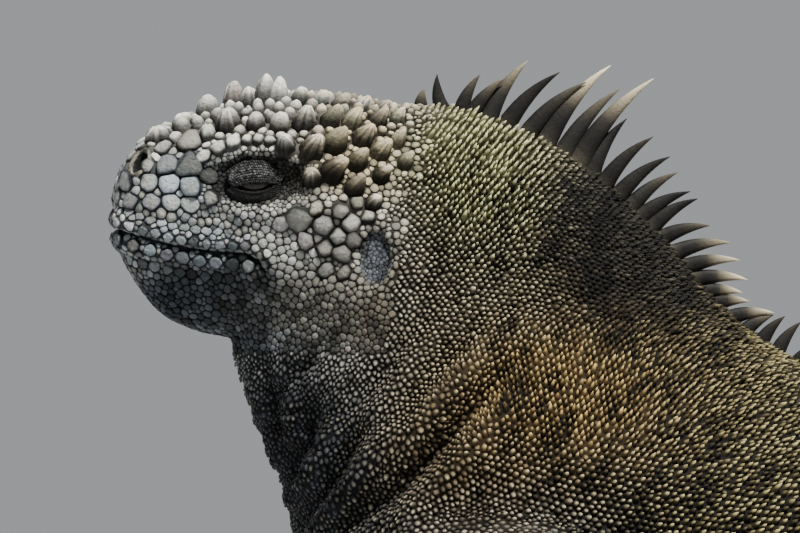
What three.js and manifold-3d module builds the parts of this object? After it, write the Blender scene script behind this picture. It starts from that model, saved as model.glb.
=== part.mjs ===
// A life-size marine iguana, a large male basking with its chest raised on straight forelegs, its head
// lifted, and its belly and tail on the floor. Millimetres, +Z up. The head points along -X and the animal's
// left side is -Y. The origin is on the flat of the belly, where it rests on the floor.
import * as THREE from "three";
import { mergeVertices } from "three/addons/utils/BufferGeometryUtils.js";
import Module from "manifold-3d";

const wasm = await Module();
wasm.setup();

// Driving sizes
const gap = 0.3; // between nodes that meet
const bellyBehindSnout = 335; // from the tip of the snout to the origin
const tailLength = 575;
const rootDepth = 2.2; // how deep a spine or tubercle is sunk in what carries it
const seed = 7;
const bodySides = 20;
const tailSides = 10;
const tailSteps = 24;
const rayReach = 200; // rays that look for the surface start this far out

// Sections of the head, from the snout back. top and bottom are [distance behind the snout tip, height] in
// the side view. half is half the width, sag moves the widest level up (+) or down (-), and a power under 1
// squares that half of the section.
const headSections = [
  { top: [0.1, 181.5], bottom: [0.1, 171.5], half: 5, topPower: 0.9, bottomPower: 0.9, sag: 0 },
  { top: [1, 186], bottom: [0.8, 168.3], half: 9.6, topPower: 0.85, bottomPower: 0.9, sag: 0 },
  { top: [3, 190.6], bottom: [3, 165], half: 12.4, topPower: 0.8, bottomPower: 0.9, sag: -0.05 },
  { top: [7, 195], bottom: [6.8, 159], half: 14.6, topPower: 0.8, bottomPower: 0.95, sag: 0 },
  { top: [13.3, 198.3], bottom: [12.5, 152.8], half: 16.4, topPower: 0.78, bottomPower: 1, sag: 0.04 },
  { top: [20.8, 201.8], bottom: [20, 149.3], half: 18, topPower: 0.76, bottomPower: 1, sag: 0.05 },
  { top: [29.3, 204.3], bottom: [27.5, 147.6], half: 20.4, topPower: 0.76, bottomPower: 1, sag: 0.03 },
  { top: [38.8, 205.4], bottom: [37.5, 147.3], half: 23.2, topPower: 0.78, bottomPower: 0.95, sag: -0.03 },
  { top: [48.8, 205.4], bottom: [47.5, 148.3], half: 26, topPower: 0.8, bottomPower: 0.9, sag: -0.1 },
  { top: [58.8, 204.4], bottom: [57.5, 149.8], half: 27.4, topPower: 0.85, bottomPower: 0.9, sag: -0.14 },
  { top: [68.8, 202], bottom: [66.3, 152.3], half: 26, topPower: 0.9, bottomPower: 0.9, sag: -0.12 },
  { top: [76, 196], bottom: [73.5, 157], half: 18, topPower: 0.95, bottomPower: 0.95, sag: -0.05 },
];

// Sections of the neck and trunk, from inside the head back to the vent.
const bodySections = [
  { top: [54, 197], bottom: [32, 150], half: 15, topPower: 1, bottomPower: 1, sag: 0 },
  { top: [67.5, 202.5], bottom: [30, 143.5], half: 21.5, topPower: 0.98, bottomPower: 1, sag: 0.05 },
  { top: [78.8, 204], bottom: [32.5, 135], half: 25.5, topPower: 1, bottomPower: 1.02, sag: 0.08 },
  { top: [90, 201.3], bottom: [34.8, 127.3], half: 29, topPower: 1.05, bottomPower: 1.05, sag: 0.08 },
  { top: [101.3, 197], bottom: [38, 120.3], half: 32.5, topPower: 1.08, bottomPower: 1.05, sag: 0.06 },
  { top: [113.8, 190.6], bottom: [41.5, 112.3], half: 36.5, topPower: 1.1, bottomPower: 1.02, sag: 0.03 },
  { top: [125, 182.2], bottom: [44.3, 103.5], half: 41, topPower: 1.1, bottomPower: 1, sag: 0 },
  { top: [135.4, 173], bottom: [46, 93], half: 45.5, topPower: 1.1, bottomPower: 0.97, sag: -0.03 },
  { top: [144.4, 161.8], bottom: [51, 79.5], half: 50, topPower: 1.08, bottomPower: 0.95, sag: -0.05 },
  { top: [156.3, 149], bottom: [66, 62], half: 54, topPower: 1.05, bottomPower: 0.92, sag: -0.08 },
  { top: [172, 138.8], bottom: [94, 47.5], half: 57.5, topPower: 1, bottomPower: 0.9, sag: -0.1 },
  { top: [200, 126], bottom: [135, 36], half: 61.5, topPower: 0.97, bottomPower: 0.86, sag: -0.14 },
  { top: [232, 113.5], bottom: [186, 23], half: 65.5, topPower: 0.95, bottomPower: 0.82, sag: -0.18 },
  { top: [265, 101], bottom: [236, 9], half: 67, topPower: 0.95, bottomPower: 0.78, sag: -0.22 },
  { top: [298, 88.5], bottom: [283, 0.2], half: 62.5, topPower: 0.97, bottomPower: 0.75, sag: -0.24 },
  { top: [328, 77], bottom: [322, -1.2], half: 52.5, topPower: 1, bottomPower: 0.74, sag: -0.22 },
  { top: [355, 65.5], bottom: [354, -1], half: 41, topPower: 1, bottomPower: 0.74, sag: -0.15 },
  { top: [381, 55], bottom: [382, -0.8], half: 30, topPower: 1, bottomPower: 0.8, sag: -0.1 },
  { top: [400, 49], bottom: [401, -0.7], half: 24, topPower: 1, bottomPower: 0.85, sag: -0.08 },
];

// Sections of the tail: how far along it, half its width, and its height above the floor.
const tailRoot = 376; // behind the snout tip
const tailSections = [
  { along: 0, half: 29, height: 55 },
  { along: 30, half: 22.5, height: 49 },
  { along: 70, half: 17, height: 45 },
  { along: 140, half: 12.8, height: 41 },
  { along: 230, half: 9.8, height: 36 },
  { along: 330, half: 7.4, height: 29.5 },
  { along: 430, half: 5.2, height: 21.5 },
  { along: 510, half: 3.4, height: 14 },
  { along: 555, half: 2.2, height: 8.5 },
  { along: tailLength, half: 1.2, height: 4.2 },
];
const tailSwing = 0.62; // greatest turn of the tail from the body's line, in radians
const tailCuts = [110, 225, 345, 460]; // where the tail is parted into lengths

// The line of the mouth in the side view, then the corner of the jaw, as [behind the snout tip, height].
const mouthLine = [
  [-6, 175.6],
  [0.5, 173.6],
  [6, 171.9],
  [14, 169.6],
  [24, 168],
  [33, 167.4],
  [35.8, 166.4],
];
const jawCorner = [51, 160.5];
const notch = [26.5, 143.5]; // where the throat meets the neck
const nape = [79.3, 210]; // the head ends on a line from here, behind the eardrum, to the notch
const jawAngle = [73.5, 150];

const eye = { behind: 35, height: 186, out: 14, radius: 7.2 };
const lidOver = [2.2, 1.3, 0.4]; // how far the lids stand over the eyeball: along, out and up
const orbit = { back: 1, out: 9.5, down: 0.6, halves: [13, 6, 6.6] }; // hollow round the eye, from its middle
const lidSlit = { back: 0.4, down: 1.5, halves: [5.4, 5, 1.7], tilt: 0.06 };
const nostril = { behind: 7, height: 190.6, long: 3.2, wide: 1.5, tilt: 0.6, deep: 4.5, lifted: 1.4 };
const nostrilRim = { along: 2.2, out: 1.8, up: 1.5 };
const eardrum = { behind: 66, height: 167.5, long: 8.6, wide: 4.4, depth: 1.8 };
const upperLip = { shift: 1.9, radius: 1.5 };
const lowerLip = { shift: -1.9, radius: 1.4 };

// Crest of the nape and shoulders: how far each spine stands behind the snout tip, its length, and how steeply
// it rises to the rear, in degrees.
const napeSpines = [
  [76.6, 5, 82],
  [81.9, 9, 99],
  [86.4, 11.1, 64],
  [89, 12.9, 50],
  [93.1, 18.8, 57],
  [97.4, 19.9, 46],
  [102.6, 20.7, 43],
  [107.3, 26.4, 51],
  [111.9, 22.3, 50],
  [115.6, 29, 49],
  [119, 17, 58],
  [122.2, 17.5, 45],
  [125.6, 16.6, 38],
  [128.9, 14.8, 37],
  [131.6, 13.8, 28],
  [134.2, 13.5, 32],
  [136.8, 12.3, 15],
  [139.8, 14.5, 11],
  [142.5, 13.8, 8],
  [145, 13.1, 0],
  [147.6, 9.2, -1],
  [150.2, 8.5, 4],
  [153.6, 11.3, 7],
  [157.4, 8.5, 30],
  [161.5, 9.2, 49],
  [165.4, 10.2, 53],
];
const napeSpineWidth = { least: 2.7, forLength: 0.07, flat: 0.6, bow: -0.05 };
const backSpine = { length: 8.5, spacing: 7.6, width: 3.8, rise: 42, flat: 0.45, thinnest: 0.9 };
const tailSpine = { rootLength: 8.5, tipLength: 1.8, spacing: 11.5, closer: 4.5, width: 5.6, narrower: 2.8 };
const bareTailTip = 12; // length at the tip of the tail with no spines

// The tips of the tubercles over the middle of the head, as [behind the snout tip, height].
const crownTips = [
  [5, 197.5],
  [11, 201],
  [17.5, 203.5],
  [22.8, 207.5],
  [29.5, 211.5],
  [38.5, 213],
  [44, 210],
  [50, 208.3],
  [60, 207.5],
  [74, 205.8],
];
const tubercle = { spacing: 6.4, foot: 5.8, low: 2.2, nape: 4.6, blunt: 0.42, lean: 0.3 };
const tubercleRows = { first: 7, last: 71, axisHeight: 182 };
const tubercleFan = { crownHalf: 0.62, side: 0.86, nape: 1.38 }; // angles from the top of the head

// The legs, left side. Each joint is [behind the snout tip, out from the middle, height, radius].
const foreleg = {
  joints: [
    [80, 34, 89, 21],
    [106, 56, 83, 18.5],
    [130, 74, 65, 14.5],
    [119, 81, 38, 13.5],
    [106, 85, 14, 9.6],
  ],
  parts: ["upper_arm", "forearm", "forefoot"],
  bend: 2, // the joint that is the elbow or knee
  heading: 0.32, // turn of the foot outwards, in radians
  strides: { left: 0, right: -7 }, // how far back each foot stands from the joints above
  palm: { length: 17, wide: 13, high: 6.2 },
  toes: [
    { length: 19, turn: -0.66 },
    { length: 27, turn: -0.3 },
    { length: 32, turn: 0.02 },
    { length: 31, turn: 0.36 },
    { length: 22, turn: 0.86 },
  ],
  toeRadius: 3.6,
  claw: 12,
};
const hindleg = {
  joints: [
    [352, 22, 38, 24],
    [328, 58, 48, 23],
    [299, 93, 49, 17],
    [323, 108, 31, 15],
    [350, 115, 13.5, 10],
  ],
  parts: ["thigh", "shin", "hindfoot"],
  bend: 2,
  heading: 0.5,
  strides: { left: 0, right: 8 },
  palm: { length: 30, wide: 13.5, high: 6 },
  toes: [
    { length: 20, turn: -0.52 },
    { length: 30, turn: -0.24 },
    { length: 41, turn: 0.02 },
    { length: 50, turn: 0.28 },
    { length: 34, turn: 0.8 },
  ],
  toeRadius: 3.7,
  claw: 12,
};
const ankleDip = 0.12; // how far the foot points down, for each part forwards
const toeFan = { apart: 0.42, setBack: 0.9 }; // the toes' spacing, and how far their row curves back
const heel = { height: 9, radius: 9.5 };
const clawShape = { width: 4.2, thick: 2.8, bow: 1.5, sunk: 3, height: 3.7, dip: 0.14, at: 0.94 };

const colours = {
  head: 0x94968f,
  jaw: 0x5d6266,
  neck: 0x6c6a4e,
  trunk: 0x574a34,
  tail: 0x35332d,
  leg: 0x2f3133,
  foot: 0x26272a,
  eye: 0x120d0a,
};

// Small helpers
let drawn = seed;
function chance() {
  drawn = (drawn * 16807) % 2147483647;
  return drawn / 2147483647;
}

function spread(low, high) {
  return low + (high - low) * chance();
}

function smooth(low, high, value) {
  const t = Math.min(1, Math.max(0, (value - low) / (high - low)));
  return t * t * (3 - 2 * t);
}

function place(behind, out, height) {
  return new THREE.Vector3(behind - bellyBehindSnout, out, height);
}

// A Catmull-Rom value through a list of numbers.
function through(values, t) {
  const last = values.length - 1;
  const i = Math.min(last - 1, Math.max(0, Math.floor(t)));
  const f = t - i;
  const [a, b, c, d] = [values[Math.max(0, i - 1)], values[i], values[i + 1], values[Math.min(last, i + 2)]];
  return b + 0.5 * f * (c - a + f * (2 * a - 5 * b + 4 * c - d + f * (3 * (b - c) + d - a)));
}

function sectionAt(sections, t) {
  const read = (pick) => through(sections.map(pick), t);
  return {
    top: [read((s) => s.top[0]), read((s) => s.top[1])],
    bottom: [read((s) => s.bottom[0]), read((s) => s.bottom[1])],
    half: read((s) => s.half),
    topPower: read((s) => s.topPower),
    bottomPower: read((s) => s.bottomPower),
    sag: read((s) => s.sag),
  };
}

// A point of a section. Angle 0 is its top, and a quarter turn is the side towards +Y.
function sectionPoint(section, angle, swell = 0) {
  const power = Math.cos(angle) > 0 ? section.topPower : section.bottomPower;
  const round = (v) => Math.sign(v) * Math.abs(v) ** power;
  const up = round(Math.cos(angle));
  const level = up + section.sag * (1 - up * up);
  const top = place(section.top[0], 0, section.top[1]);
  const bottom = place(section.bottom[0], 0, section.bottom[1]);
  const rise = top.clone().sub(bottom).multiplyScalar(0.5);
  const middle = top.add(bottom).multiplyScalar(0.5);
  rise.setLength(rise.length() + swell);
  const point = middle.addScaledVector(rise, level);
  point.y += (section.half + swell) * round(Math.sin(angle));
  return point;
}

// A closed solid over a row of rings that have the same number of points.
function solidOver(rings) {
  const sides = rings[0].length;
  const middle = (ring) => ring.reduce((sum, p) => sum.add(p), new THREE.Vector3()).divideScalar(sides);
  const points = rings.flat();
  const front = points.push(middle(rings[0])) - 1;
  const back = points.push(middle(rings.at(-1))) - 1;
  const end = (rings.length - 1) * sides;
  const faces = [];
  for (let s = 0; s < sides; s++) {
    const next = (s + 1) % sides;
    faces.push([front, next, s], [back, end + s, end + next]);
    for (let r = 0; r < end; r += sides) {
      faces.push([r + s, r + next, r + sides + next], [r + s, r + sides + next, r + sides + s]);
    }
  }
  const geometry = new THREE.BufferGeometry().setFromPoints(points).setIndex(faces.flat());
  return solidOf(geometry);
}

function solidOf(geometry) {
  const bare = geometry.clone();
  bare.deleteAttribute("normal");
  bare.deleteAttribute("uv");
  const merged = mergeVertices(bare, 1e-4);
  const vertProperties = new Float32Array(merged.attributes.position.array);
  const triVerts = new Uint32Array(merged.index.array);
  const made = new wasm.Manifold(new wasm.Mesh({ numProp: 3, vertProperties, triVerts }));
  if (made.volume() > 0) return made;
  for (let i = 0; i < triVerts.length; i += 3) triVerts.subarray(i, i + 3).reverse();
  return new wasm.Manifold(new wasm.Mesh({ numProp: 3, vertProperties, triVerts }));
}

function joined(solids) {
  return wasm.Manifold.union(solids);
}

// The largest closed body of a solid, as a three.js geometry.
function geometryOf(solid) {
  const largest = solid.decompose().sort((a, b) => b.volume() - a.volume())[0];
  const { vertProperties, triVerts } = largest.getMesh();
  return new THREE.BufferGeometry()
    .setAttribute("position", new THREE.BufferAttribute(new Float32Array(vertProperties), 3))
    .setIndex(new THREE.BufferAttribute(new Uint32Array(triVerts), 1));
}

function loft(sections, steps, sides, swell = 0) {
  const rings = [];
  const last = sections.length - 1;
  for (let i = 0; i <= last * steps; i++) {
    const section = sectionAt(sections, i / steps);
    const angles = Array.from({ length: sides }, (_, s) => (2 * Math.PI * s) / sides);
    rings.push(angles.map((angle) => sectionPoint(section, angle, swell)));
  }
  return solidOver(rings);
}

// A ball squeezed to three half sizes, turned and placed.
function blob(centre, halves, turn = new THREE.Euler(), fine = 10) {
  const geometry = new THREE.SphereGeometry(1, fine, Math.ceil(fine / 2) + 1);
  const matrix = new THREE.Matrix4().compose(centre, new THREE.Quaternion().setFromEuler(turn), halves);
  return solidOf(geometry.applyMatrix4(matrix));
}

// What lies beyond a plane, in the way that its normal points, less half the gap between nodes.
function beyond(solid, plane) {
  const normal = plane.normal.clone().normalize();
  return solid.trimByPlane(normal.toArray(), normal.dot(plane.point) + gap / 2);
}

function before(solid, plane) {
  return beyond(solid, { point: plane.point, normal: plane.normal.clone().negate() });
}

function aboveFloor(solid) {
  return solid.trimByPlane([0, 0, 1], 0);
}

// A tapered spike whose root is sunk in what carries it. side is the way across its thickness, bow how far its
// middle stands off the line from root to tip, and blunt the width of its tip as a share of the root's.
function spike(plan) {
  const { root, direction, side, length, width, thick } = plan;
  const { bow = 0, blunt = 0, sides = 5, sunk = rootDepth } = plan;
  const along = new THREE.Vector3().crossVectors(side, direction).normalize();
  if (!bow && !blunt) {
    const cone = new THREE.ConeGeometry(1, length + sunk, sides);
    const wide = along.clone().multiplyScalar(width / 2);
    const deep = side.clone().multiplyScalar(thick / 2);
    const middle = root.clone().addScaledVector(direction, (length - sunk) / 2);
    return solidOf(cone.applyMatrix4(new THREE.Matrix4().makeBasis(wide, direction, deep).setPosition(middle)));
  }
  const ring = (share, size, off) => {
    const centre = root.clone().addScaledVector(direction, share * length).addScaledVector(along, off);
    return Array.from({ length: sides }, (_, s) => {
      const angle = (2 * Math.PI * (s + 0.5)) / sides;
      const point = centre.clone().addScaledVector(along, (width / 2) * size * Math.cos(angle));
      return point.addScaledVector(side, (thick / 2) * size * Math.sin(angle));
    });
  };
  const rings = [ring(-sunk / length, 1, 0), ring(1, Math.max(blunt, 0.08), 0)];
  if (bow) rings.splice(1, 0, ring(0.5, 0.68, bow));
  return solidOver(rings);
}

// The tail's own line on the floor, and a section across it.
const tailLine = (() => {
  const points = [place(tailRoot, 0, 0)];
  const step = 5;
  for (let s = step; s <= tailLength; s += step) {
    const share = s / tailLength;
    const heading = tailSwing * Math.sin(Math.PI * 1.55 * share ** 1.15) * smooth(0, 0.3, share);
    const move = new THREE.Vector3(step * Math.cos(heading), step * Math.sin(heading), 0);
    points.push(points.at(-1).clone().add(move));
  }
  return new THREE.CatmullRomCurve3(points);
})();

function tailAt(along) {
  const count = tailSections.length;
  const i = Math.min(count - 2, Math.max(0, tailSections.findIndex((s) => s.along > along) - 1));
  const [a, b] = [tailSections[i], tailSections[i + 1]];
  const t = along >= tailLength ? count - 1 : i + (along - a.along) / (b.along - a.along);
  const point = tailLine.getPointAt(Math.min(1, along / tailLength));
  const forward = tailLine.getTangentAt(Math.min(1, along / tailLength));
  const side = new THREE.Vector3(-forward.y, forward.x, 0);
  return {
    point,
    forward,
    side,
    half: through(tailSections.map((s) => s.half), t),
    height: through(tailSections.map((s) => s.height), t),
  };
}

function tailLoft(steps, sides) {
  const lowest = -0.8; // cut away at the floor, so that the tail lies on a narrow flat
  const rings = [];
  for (let i = 0; i <= steps; i++) {
    const at = tailAt((tailLength * i) / steps);
    const middle = (at.height + lowest) / 2;
    const rise = (at.height - lowest) / 2;
    rings.push(
      Array.from({ length: sides }, (_, s) => {
        const angle = (2 * Math.PI * s) / sides;
        const level = Math.cos(angle) - 0.12 * Math.sin(angle) ** 2;
        const point = at.point.clone().addScaledVector(at.side, at.half * Math.sin(angle));
        point.z = middle + rise * level;
        return point;
      }),
    );
  }
  return solidOver(rings);
}

// The whole animal without its legs, then parted by thin cuts.
const headLoft = loft(headSections, 1, bodySides);
const trunkLoft = loft(bodySections, 1, bodySides);
const whole = aboveFloor(joined([headLoft, trunkLoft, tailLoft(tailSteps, tailSides)]));

function sideCut(top, bottom) {
  const a = place(top[0], 0, top[1]);
  const b = place(bottom[0], 0, bottom[1]);
  const down = b.sub(a);
  return { point: a, normal: new THREE.Vector3(-down.z, 0, down.x) };
}

const chestCut = sideCut([131, 176], [45, 97]);
const ribCut = sideCut([164, 143.5], [81, 54]);
const rumpCut = sideCut([377, 56], [378, 0]);
const tailPlanes = tailCuts.map((along) => {
  const at = tailAt(along);
  return { point: at.point, normal: at.forward };
});

// Where a ray from one side first meets a solid: the point and the way that its surface faces.
const rayMeshes = new Map();
function touch(solid, from, towards) {
  if (!rayMeshes.has(solid)) {
    const mesh = new THREE.Mesh(geometryOf(solid), new THREE.MeshBasicMaterial({ side: THREE.DoubleSide }));
    rayMeshes.set(solid, mesh);
  }
  const way = towards.clone().sub(from).normalize();
  const hit = new THREE.Raycaster(from, way).intersectObject(rayMeshes.get(solid))[0];
  const faces = hit.face.normal.clone();
  return { point: hit.point, faces: faces.dot(way) > 0 ? faces.negate() : faces };
}

function onHead(behind, height, side) {
  return touch(headLoft, place(behind, side * rayReach, height), place(behind, 0, height));
}

// Blunt conical tubercles in rows over the snout, crown and occiput, tallest over the front of the crown.
function headTubercles() {
  const made = [];
  const rows = tubercleRows;
  for (let row = 0, behind = rows.first; behind < rows.last; row++, behind += tubercle.spacing) {
    const occiput = smooth(40, 54, behind);
    const widest = THREE.MathUtils.lerp(tubercleFan.side, tubercleFan.nape, occiput);
    const across = Math.round(4 + 2 * smooth(8, 50, behind));
    const tip = crownTips.findIndex((t) => t[0] > behind);
    const [low, high] = [crownTips[tip - 1], crownTips[tip]];
    const tipHeight = THREE.MathUtils.lerp(low[1], high[1], (behind - low[0]) / (high[0] - low[0]));
    const skinHeight = touch(headLoft, place(behind, 0, rayReach * 2), place(behind, 0, 0)).point.z;
    for (let n = 0; n <= across; n++) {
      const share = n / across + (row % 2 ? 0.5 / across : 0);
      if (share > 1) continue;
      const angle = widest * (2 * share - 1);
      const crown = Math.exp(-((angle / tubercleFan.crownHalf) ** 2));
      const least = THREE.MathUtils.lerp(tubercle.low, tubercle.nape, occiput);
      const height = Math.max((tipHeight - skinHeight) * crown, least);
      const foot = tubercle.foot * (0.92 + 0.045 * height) * spread(0.92, 1.08);
      const along = behind + spread(-0.9, 0.9);
      const from = place(along, rayReach * Math.sin(angle), rows.axisHeight + rayReach * Math.cos(angle));
      const hit = touch(headLoft, from, place(along, 0, rows.axisHeight));
      const lean = new THREE.Vector3(tubercle.lean * occiput, 0, tubercle.lean);
      const direction = hit.faces.add(lean).normalize();
      const side = new THREE.Vector3(1, 0, 0).cross(direction).normalize();
      const length = height * (crown > 0.9 ? 1 : spread(0.85, 1.1));
      const { blunt } = tubercle;
      made.push(spike({ root: hit.point, direction, side, length, width: foot, thick: foot, blunt }));
    }
  }
  return made;
}

// The mouth: a lip rolled along each edge of it, over the lip scales.
const snoutClear = 1; // rays behind this distance meet the side of the snout
function lip({ shift, radius }) {
  const points = [];
  const line = mouthLine.slice(1);
  const add = (behind, height, side) => {
    const hit = onHead(Math.max(snoutClear, behind), height + shift, side);
    points.push(hit.point.addScaledVector(hit.faces, -radius * 0.6));
  };
  [...line].reverse().forEach(([behind, height]) => add(behind, height, -1));
  line.forEach(([behind, height]) => add(behind, height, 1));
  const curve = new THREE.CatmullRomCurve3(points);
  const section = new THREE.Shape().absarc(0, 0, radius, 0, 2 * Math.PI);
  const swept = new THREE.ExtrudeGeometry(section, { steps: 20, curveSegments: 3, extrudePath: curve });
  return solidOf(swept);
}

// A slab of the side view through the whole width, from a list of [behind the snout tip, height].
function slab(outline) {
  const depth = 120;
  const corners = outline.map(([behind, height]) => new THREE.Vector2(behind - bellyBehindSnout, height));
  const shape = new THREE.Shape(corners);
  const geometry = new THREE.ExtrudeGeometry(shape, { depth, bevelEnabled: false, steps: 1 });
  return solidOf(geometry.translate(0, 0, -depth / 2).rotateX(Math.PI / 2));
}

function jawOutline(grow) {
  const line = mouthLine.map(([behind, height]) => [behind, height + grow]);
  const corner = [jawCorner[0] + 3 * grow, jawCorner[1]];
  return [...line, corner, [notch[0] + 2 * grow, notch[1]], [mouthLine[0][0], notch[1]]];
}

function headOutline(grow) {
  const front = mouthLine[0][0];
  const angle = [jawAngle[0] + grow, jawAngle[1] - grow];
  const under = notch[1] - grow;
  return [[front, under], [notch[0] + grow, under], angle, [nape[0] + grow, nape[1]], [front, nape[1] + 10]];
}

const eyeFine = 12; // sides of the rounder small forms
function eyeMiddle(side) {
  return place(eye.behind, side * eye.out, eye.height);
}

// One side's eye socket, lids, nostril and eardrum: what is added, and what is cut away.
function faceOf(side) {
  const ball = eyeMiddle(side);
  const size = eye.radius;
  const sized = (halves) => new THREE.Vector3(...halves);
  const socketMiddle = place(eye.behind + orbit.back, side * (eye.out + orbit.out), eye.height - orbit.down);
  const socket = blob(socketMiddle, sized(orbit.halves));
  const lids = blob(ball, sized(lidOver).addScalar(size), undefined, eyeFine);
  const room = blob(ball, new THREE.Vector3().setScalar(size + gap), undefined, eyeFine);
  const slitMiddle = place(eye.behind + lidSlit.back, side * (eye.out + size), eye.height - lidSlit.down);
  const slit = blob(slitMiddle, sized(lidSlit.halves), new THREE.Euler(0, lidSlit.tilt, 0));
  const nose = onHead(nostril.behind, nostril.height, side);
  const noseTurn = new THREE.Euler(0, nostril.tilt, 0);
  const rimHalves = [nostril.wide + nostrilRim.along, nostrilRim.out, nostril.long + nostrilRim.up];
  const rim = blob(nose.point, sized(rimHalves), noseTurn);
  const noseMiddle = nose.point.clone().addScaledVector(nose.faces, nostril.lifted);
  const hole = blob(noseMiddle, sized([nostril.wide, nostril.deep, nostril.long]), noseTurn);
  const drumFrom = place(eardrum.behind, side * rayReach, eardrum.height);
  const drum = touch(whole, drumFrom, place(eardrum.behind, 0, eardrum.height));
  const dish = blob(drum.point, sized([eardrum.wide, eardrum.depth, eardrum.long]), undefined, eyeFine);
  return { socket, lids, room, slit, rim, hole, dish };
}

// The line of the crest, from the nape over the back and along the tail.
function crestLine() {
  const line = [];
  const last = bodySections.length - 1;
  const step = 0.02;
  for (let t = 1; t < last; t += step) {
    const point = sectionPoint(sectionAt(bodySections, t), 0);
    if (point.x > place(tailRoot).x) break;
    line.push({ point, back: new THREE.Vector3(1, 0, 0), side: new THREE.Vector3(0, 1, 0) });
  }
  for (let s = 1; s < tailLength - bareTailTip; s += 1) {
    const at = tailAt(s);
    line.push({ point: at.point.clone().setZ(at.height), back: at.forward, side: at.side });
  }
  return line;
}

function crestSpines() {
  const line = crestLine();
  const up = new THREE.Vector3(0, 0, 1);
  const made = [];
  const add = (stop, rise, size) => {
    const angle = THREE.MathUtils.degToRad(rise);
    const direction = stop.back.clone().multiplyScalar(Math.cos(angle)).addScaledVector(up, Math.sin(angle));
    made.push({ root: stop.point, direction, side: stop.side, ...size });
  };
  for (const [behind, length, rise] of napeSpines) {
    const stop = line.find((s) => s.point.x > place(behind).x);
    const { least, forLength, flat, bow } = napeSpineWidth;
    const width = least + forLength * length;
    add(stop, rise, { length, width, thick: width * flat, bow: bow * length });
  }
  const tailEnd = place(tailRoot).x;
  let wait = backSpine.spacing;
  let previous = line.findIndex((s) => s.point.x > place(napeSpines.at(-1)[0]).x);
  for (let i = previous; i < line.length; i++) {
    if (line[i].point.distanceTo(line[previous].point) < wait) continue;
    previous = i;
    const onTail = line[i].point.x > tailEnd;
    const share = onTail ? (line[i].point.x - tailEnd) / (line.at(-1).point.x - tailEnd) : 0;
    const { rootLength, tipLength } = tailSpine;
    const full = onTail ? THREE.MathUtils.lerp(rootLength, tipLength, share) : backSpine.length;
    const width = onTail ? tailSpine.width - tailSpine.narrower * share : backSpine.width;
    const thick = Math.max(backSpine.thinnest, backSpine.flat * width);
    const sunk = rootDepth * (1 - 0.5 * share);
    const length = full * spread(0.88, 1.1);
    wait = onTail ? tailSpine.spacing - tailSpine.closer * share : backSpine.spacing;
    add(line[i], backSpine.rise, { length, width, thick, sides: onTail ? 4 : 5, sunk });
  }
  return made;
}

const napeCut = sideCut(nape, jawAngle);
const crest = crestSpines();
const faces = [faceOf(-1), faceOf(1)];
const all = (key) => joined(faces.map((face) => face[key]));
const headFront = whole.intersect(slab(headOutline(0)));
const crownSpines = crest.filter((spine) => spine.root.x < place(nape[0] - 2).x).map(spike);
const crownGrown = joined([headFront, ...headTubercles(), ...crownSpines, all("rim"), lip(upperLip)])
  .subtract(all("socket"))
  .add(all("lids"))
  .subtract(all("room"))
  .subtract(all("slit"))
  .subtract(all("hole"))
  .subtract(all("dish"));
const headSolid = crownGrown.subtract(slab(jawOutline(gap))).intersect(slab(headOutline(0)));
const jawSolid = joined([headFront, lip(lowerLip)]).intersect(slab(jawOutline(0)));

const axialCuts = [chestCut, ribCut, rumpCut, ...tailPlanes];
const axialNames = ["neck", "chest", "trunk", "tail_1_base", "tail_2", "tail_3", "tail_4", "tail_5_tip"];
const axialColours = [colours.neck, colours.trunk, colours.trunk];
const cutClearance = 2.6; // a spine keeps this far from a cut

// The crest spines that stand on a solid, clear of its neighbours.
function crestOn(from, to, spines) {
  const depth = (plane, p) => plane.normal.clone().normalize().dot(p.clone().sub(plane.point));
  return spines
    .filter((spine) => !from || depth(from, spine.root) > cutClearance)
    .filter((spine) => !to || depth(to, spine.root) < -cutClearance)
    .map(spike);
}

// One leg: a bent limb parted at its elbow or knee, and a foot with five toes and claws.
function limb(plan, side, stride) {
  const flat = 0.94; // across the limb, as a share of its radius
  const shift = (height) => stride * (1 - smooth(10, 70, height));
  const at = ([behind, out, height]) => place(behind + shift(height), side * out, height);
  const points = plan.joints.map(at);
  const radii = plan.joints.map((j) => j[3]);
  const curve = new THREE.CatmullRomCurve3(points, false, "centripetal");
  const last = points.length - 1;
  const steps = 8;
  const sides = 8;
  const rings = [];
  for (let i = 0; i <= steps; i++) {
    const t = i / steps;
    const centre = curve.getPoint(t);
    const way = curve.getTangent(t);
    const across = new THREE.Vector3().crossVectors(way, new THREE.Vector3(0.2, 0, 1)).normalize();
    const other = new THREE.Vector3().crossVectors(across, way).normalize();
    const radius = through(radii, t * last);
    rings.push(
      Array.from({ length: sides }, (_, s) => {
        const angle = (2 * Math.PI * s) / sides;
        const point = centre.clone().addScaledVector(across, radius * Math.cos(angle));
        return point.addScaledVector(other, radius * flat * Math.sin(angle));
      }),
    );
  }
  return { solid: solidOver(rings), points };
}

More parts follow.
